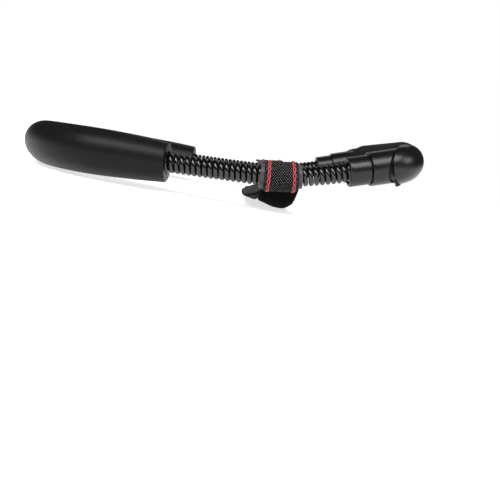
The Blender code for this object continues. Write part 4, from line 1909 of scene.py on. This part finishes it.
@dataclass(frozen=True)
class SoftLamp:
    """Soft rectangular lamp.

    Attributes:
        name: Its name.
        offset: Where it hangs, from the middle of the part.
        size: Its width and height.
        radiance: How bright its face is.
    """

    name: str
    offset: tuple[float, float, float]
    size: tuple[float, float]
    radiance: float

    def hang(self, middle: Vector) -> None:
        """Hang the lamp and point it at the part.

        Args:
            middle: The middle of the part.
        """
        data = bpy.data.lights.new(self.name, "AREA")
        data.shape = "RECTANGLE"
        data.size, data.size_y = self.size
        data.energy = self.radiance * math.pi * data.size * data.size_y
        lamp = bpy.data.objects.new(self.name, data)
        bpy.context.scene.collection.objects.link(lamp)
        offset = Vector(self.offset)
        aim = (-offset).to_track_quat("-Z", "Y").to_matrix().to_4x4()
        lamp.matrix_world = Matrix.Translation(middle + offset) @ aim


@dataclass(frozen=True)
class Studio:
    """Pale floor, white wall all round under a dim ceiling, and soft lamps at a plain level.

    Attributes:
        floor_size: Width of the floor.
        floor_drop: Gap under the part's lowest point.
        glow_near: How much the floor glows towards the camera beside the part.
        glow_far: How much it glows far away, where the lamps don't reach.
        glow_start: Distance at which the glow starts to change.
        glow_end: Distance at which it has changed.
        ambient: Light from all round on dull surfaces.
        ceiling: Brightness of the ceiling in reflections.
        wall_top: Sine of the height at which the wall starts to fade into the ceiling.
        ceiling_start: Sine of the height at which it has become the ceiling.
    """

    floor_size: float = 12.0
    floor_colour: Colour = (0.9, 0.9, 0.9)
    floor_roughness: float = 0.9
    floor_drop: float = 0.3 * MM
    glow_near: float = 0.7
    glow_far: float = 1.0
    glow_start: float = 0.3
    glow_end: float = 1.0
    ambient: float = 0.12
    ceiling: float = 0.05
    wall_top: float = 0.02
    ceiling_start: float = 0.15
    lamps: tuple[SoftLamp, ...] = (
        SoftLamp("key", (-0.1, -0.62, 0.70), (1.15, 0.44), 7.0),
        SoftLamp("side", (0.72, -0.52, 0.50), (0.34, 0.34), 5.0),
        SoftLamp("back", (0.1, 0.9, 0.8), (1.0, 0.3), 1.2),
    )

    @staticmethod
    def rays(paint: Paint) -> tuple[Socket, Socket]:
        """Whether a ray comes from the camera, and whether from a gloss or a glass."""
        path = paint.node("LightPath", {}).outputs
        return path["Is Camera Ray"], paint.maths("ADD", path["Is Glossy Ray"], path["Is Transmission Ray"])

    def floor(self) -> None:
        """Lay the floor under the part."""
        place = (0, 0, cad_box[0].z - self.floor_drop)
        floor = Bench.add("floor", bpy.ops.mesh.primitive_plane_add, size=self.floor_size, location=place)
        paint = Paint.start("floor_white")
        reach = paint.node("VectorMath", {0: paint.where()}, operation="LENGTH").outputs["Value"]
        glow = paint.spread(reach, self.glow_near, self.glow_far, self.glow_start, self.glow_end)
        camera, mirrored = self.rays(paint)
        shown = paint.maths("MULTIPLY", glow, paint.maths("ADD", camera, mirrored))
        white = paint.finish(
            Base_Color=(*self.floor_colour, 1.0), Roughness=self.floor_roughness, Specular_IOR_Level=0.0,
            Emission_Color=WHITE, Emission_Strength=shown,
        )
        floor.data.materials.append(white)

    def world(self) -> None:
        """Light the part evenly from all round, before a white background."""
        world = bpy.data.worlds.new("studio")
        bpy.context.scene.world = world
        paint = Paint(world)
        camera, mirrored = self.rays(paint)
        direction = paint.node("TexCoord", {}).outputs["Generated"]
        height = paint.node("SeparateXYZ", {"Vector": direction}).outputs[2]
        room = paint.spread(height, 1.0, self.ceiling, self.wall_top, self.ceiling_start)
        level = paint.between(camera, paint.between(mirrored, self.ambient, room), 1.0)
        background = paint.tree.nodes["Background"].inputs
        paint.feed(background["Color"], WHITE)
        paint.feed(background["Strength"], level)

    def build(self) -> None:
        """Set up the floor, the world and the lamps."""
        self.floor()
        self.world()
        for lamp in self.lamps:
            lamp.hang((cad_box[0] + cad_box[1]) / 2)
        bpy.context.scene.view_settings.view_transform = "Standard"


def main() -> None:
    """Build the looks in order."""
    logging.basicConfig(level=logging.INFO, format="%(message)s")
    axis = SpringAxis()
    Camera().build()
    Studio().build()
    assemblies = (ForearmFrame, CoilSprings, SpringCollars, StrapLoops, WristSling, Handle, Grip)
    for assembly in assemblies:
        assembly(axis).build()


if __name__ == "__main__":
    main()
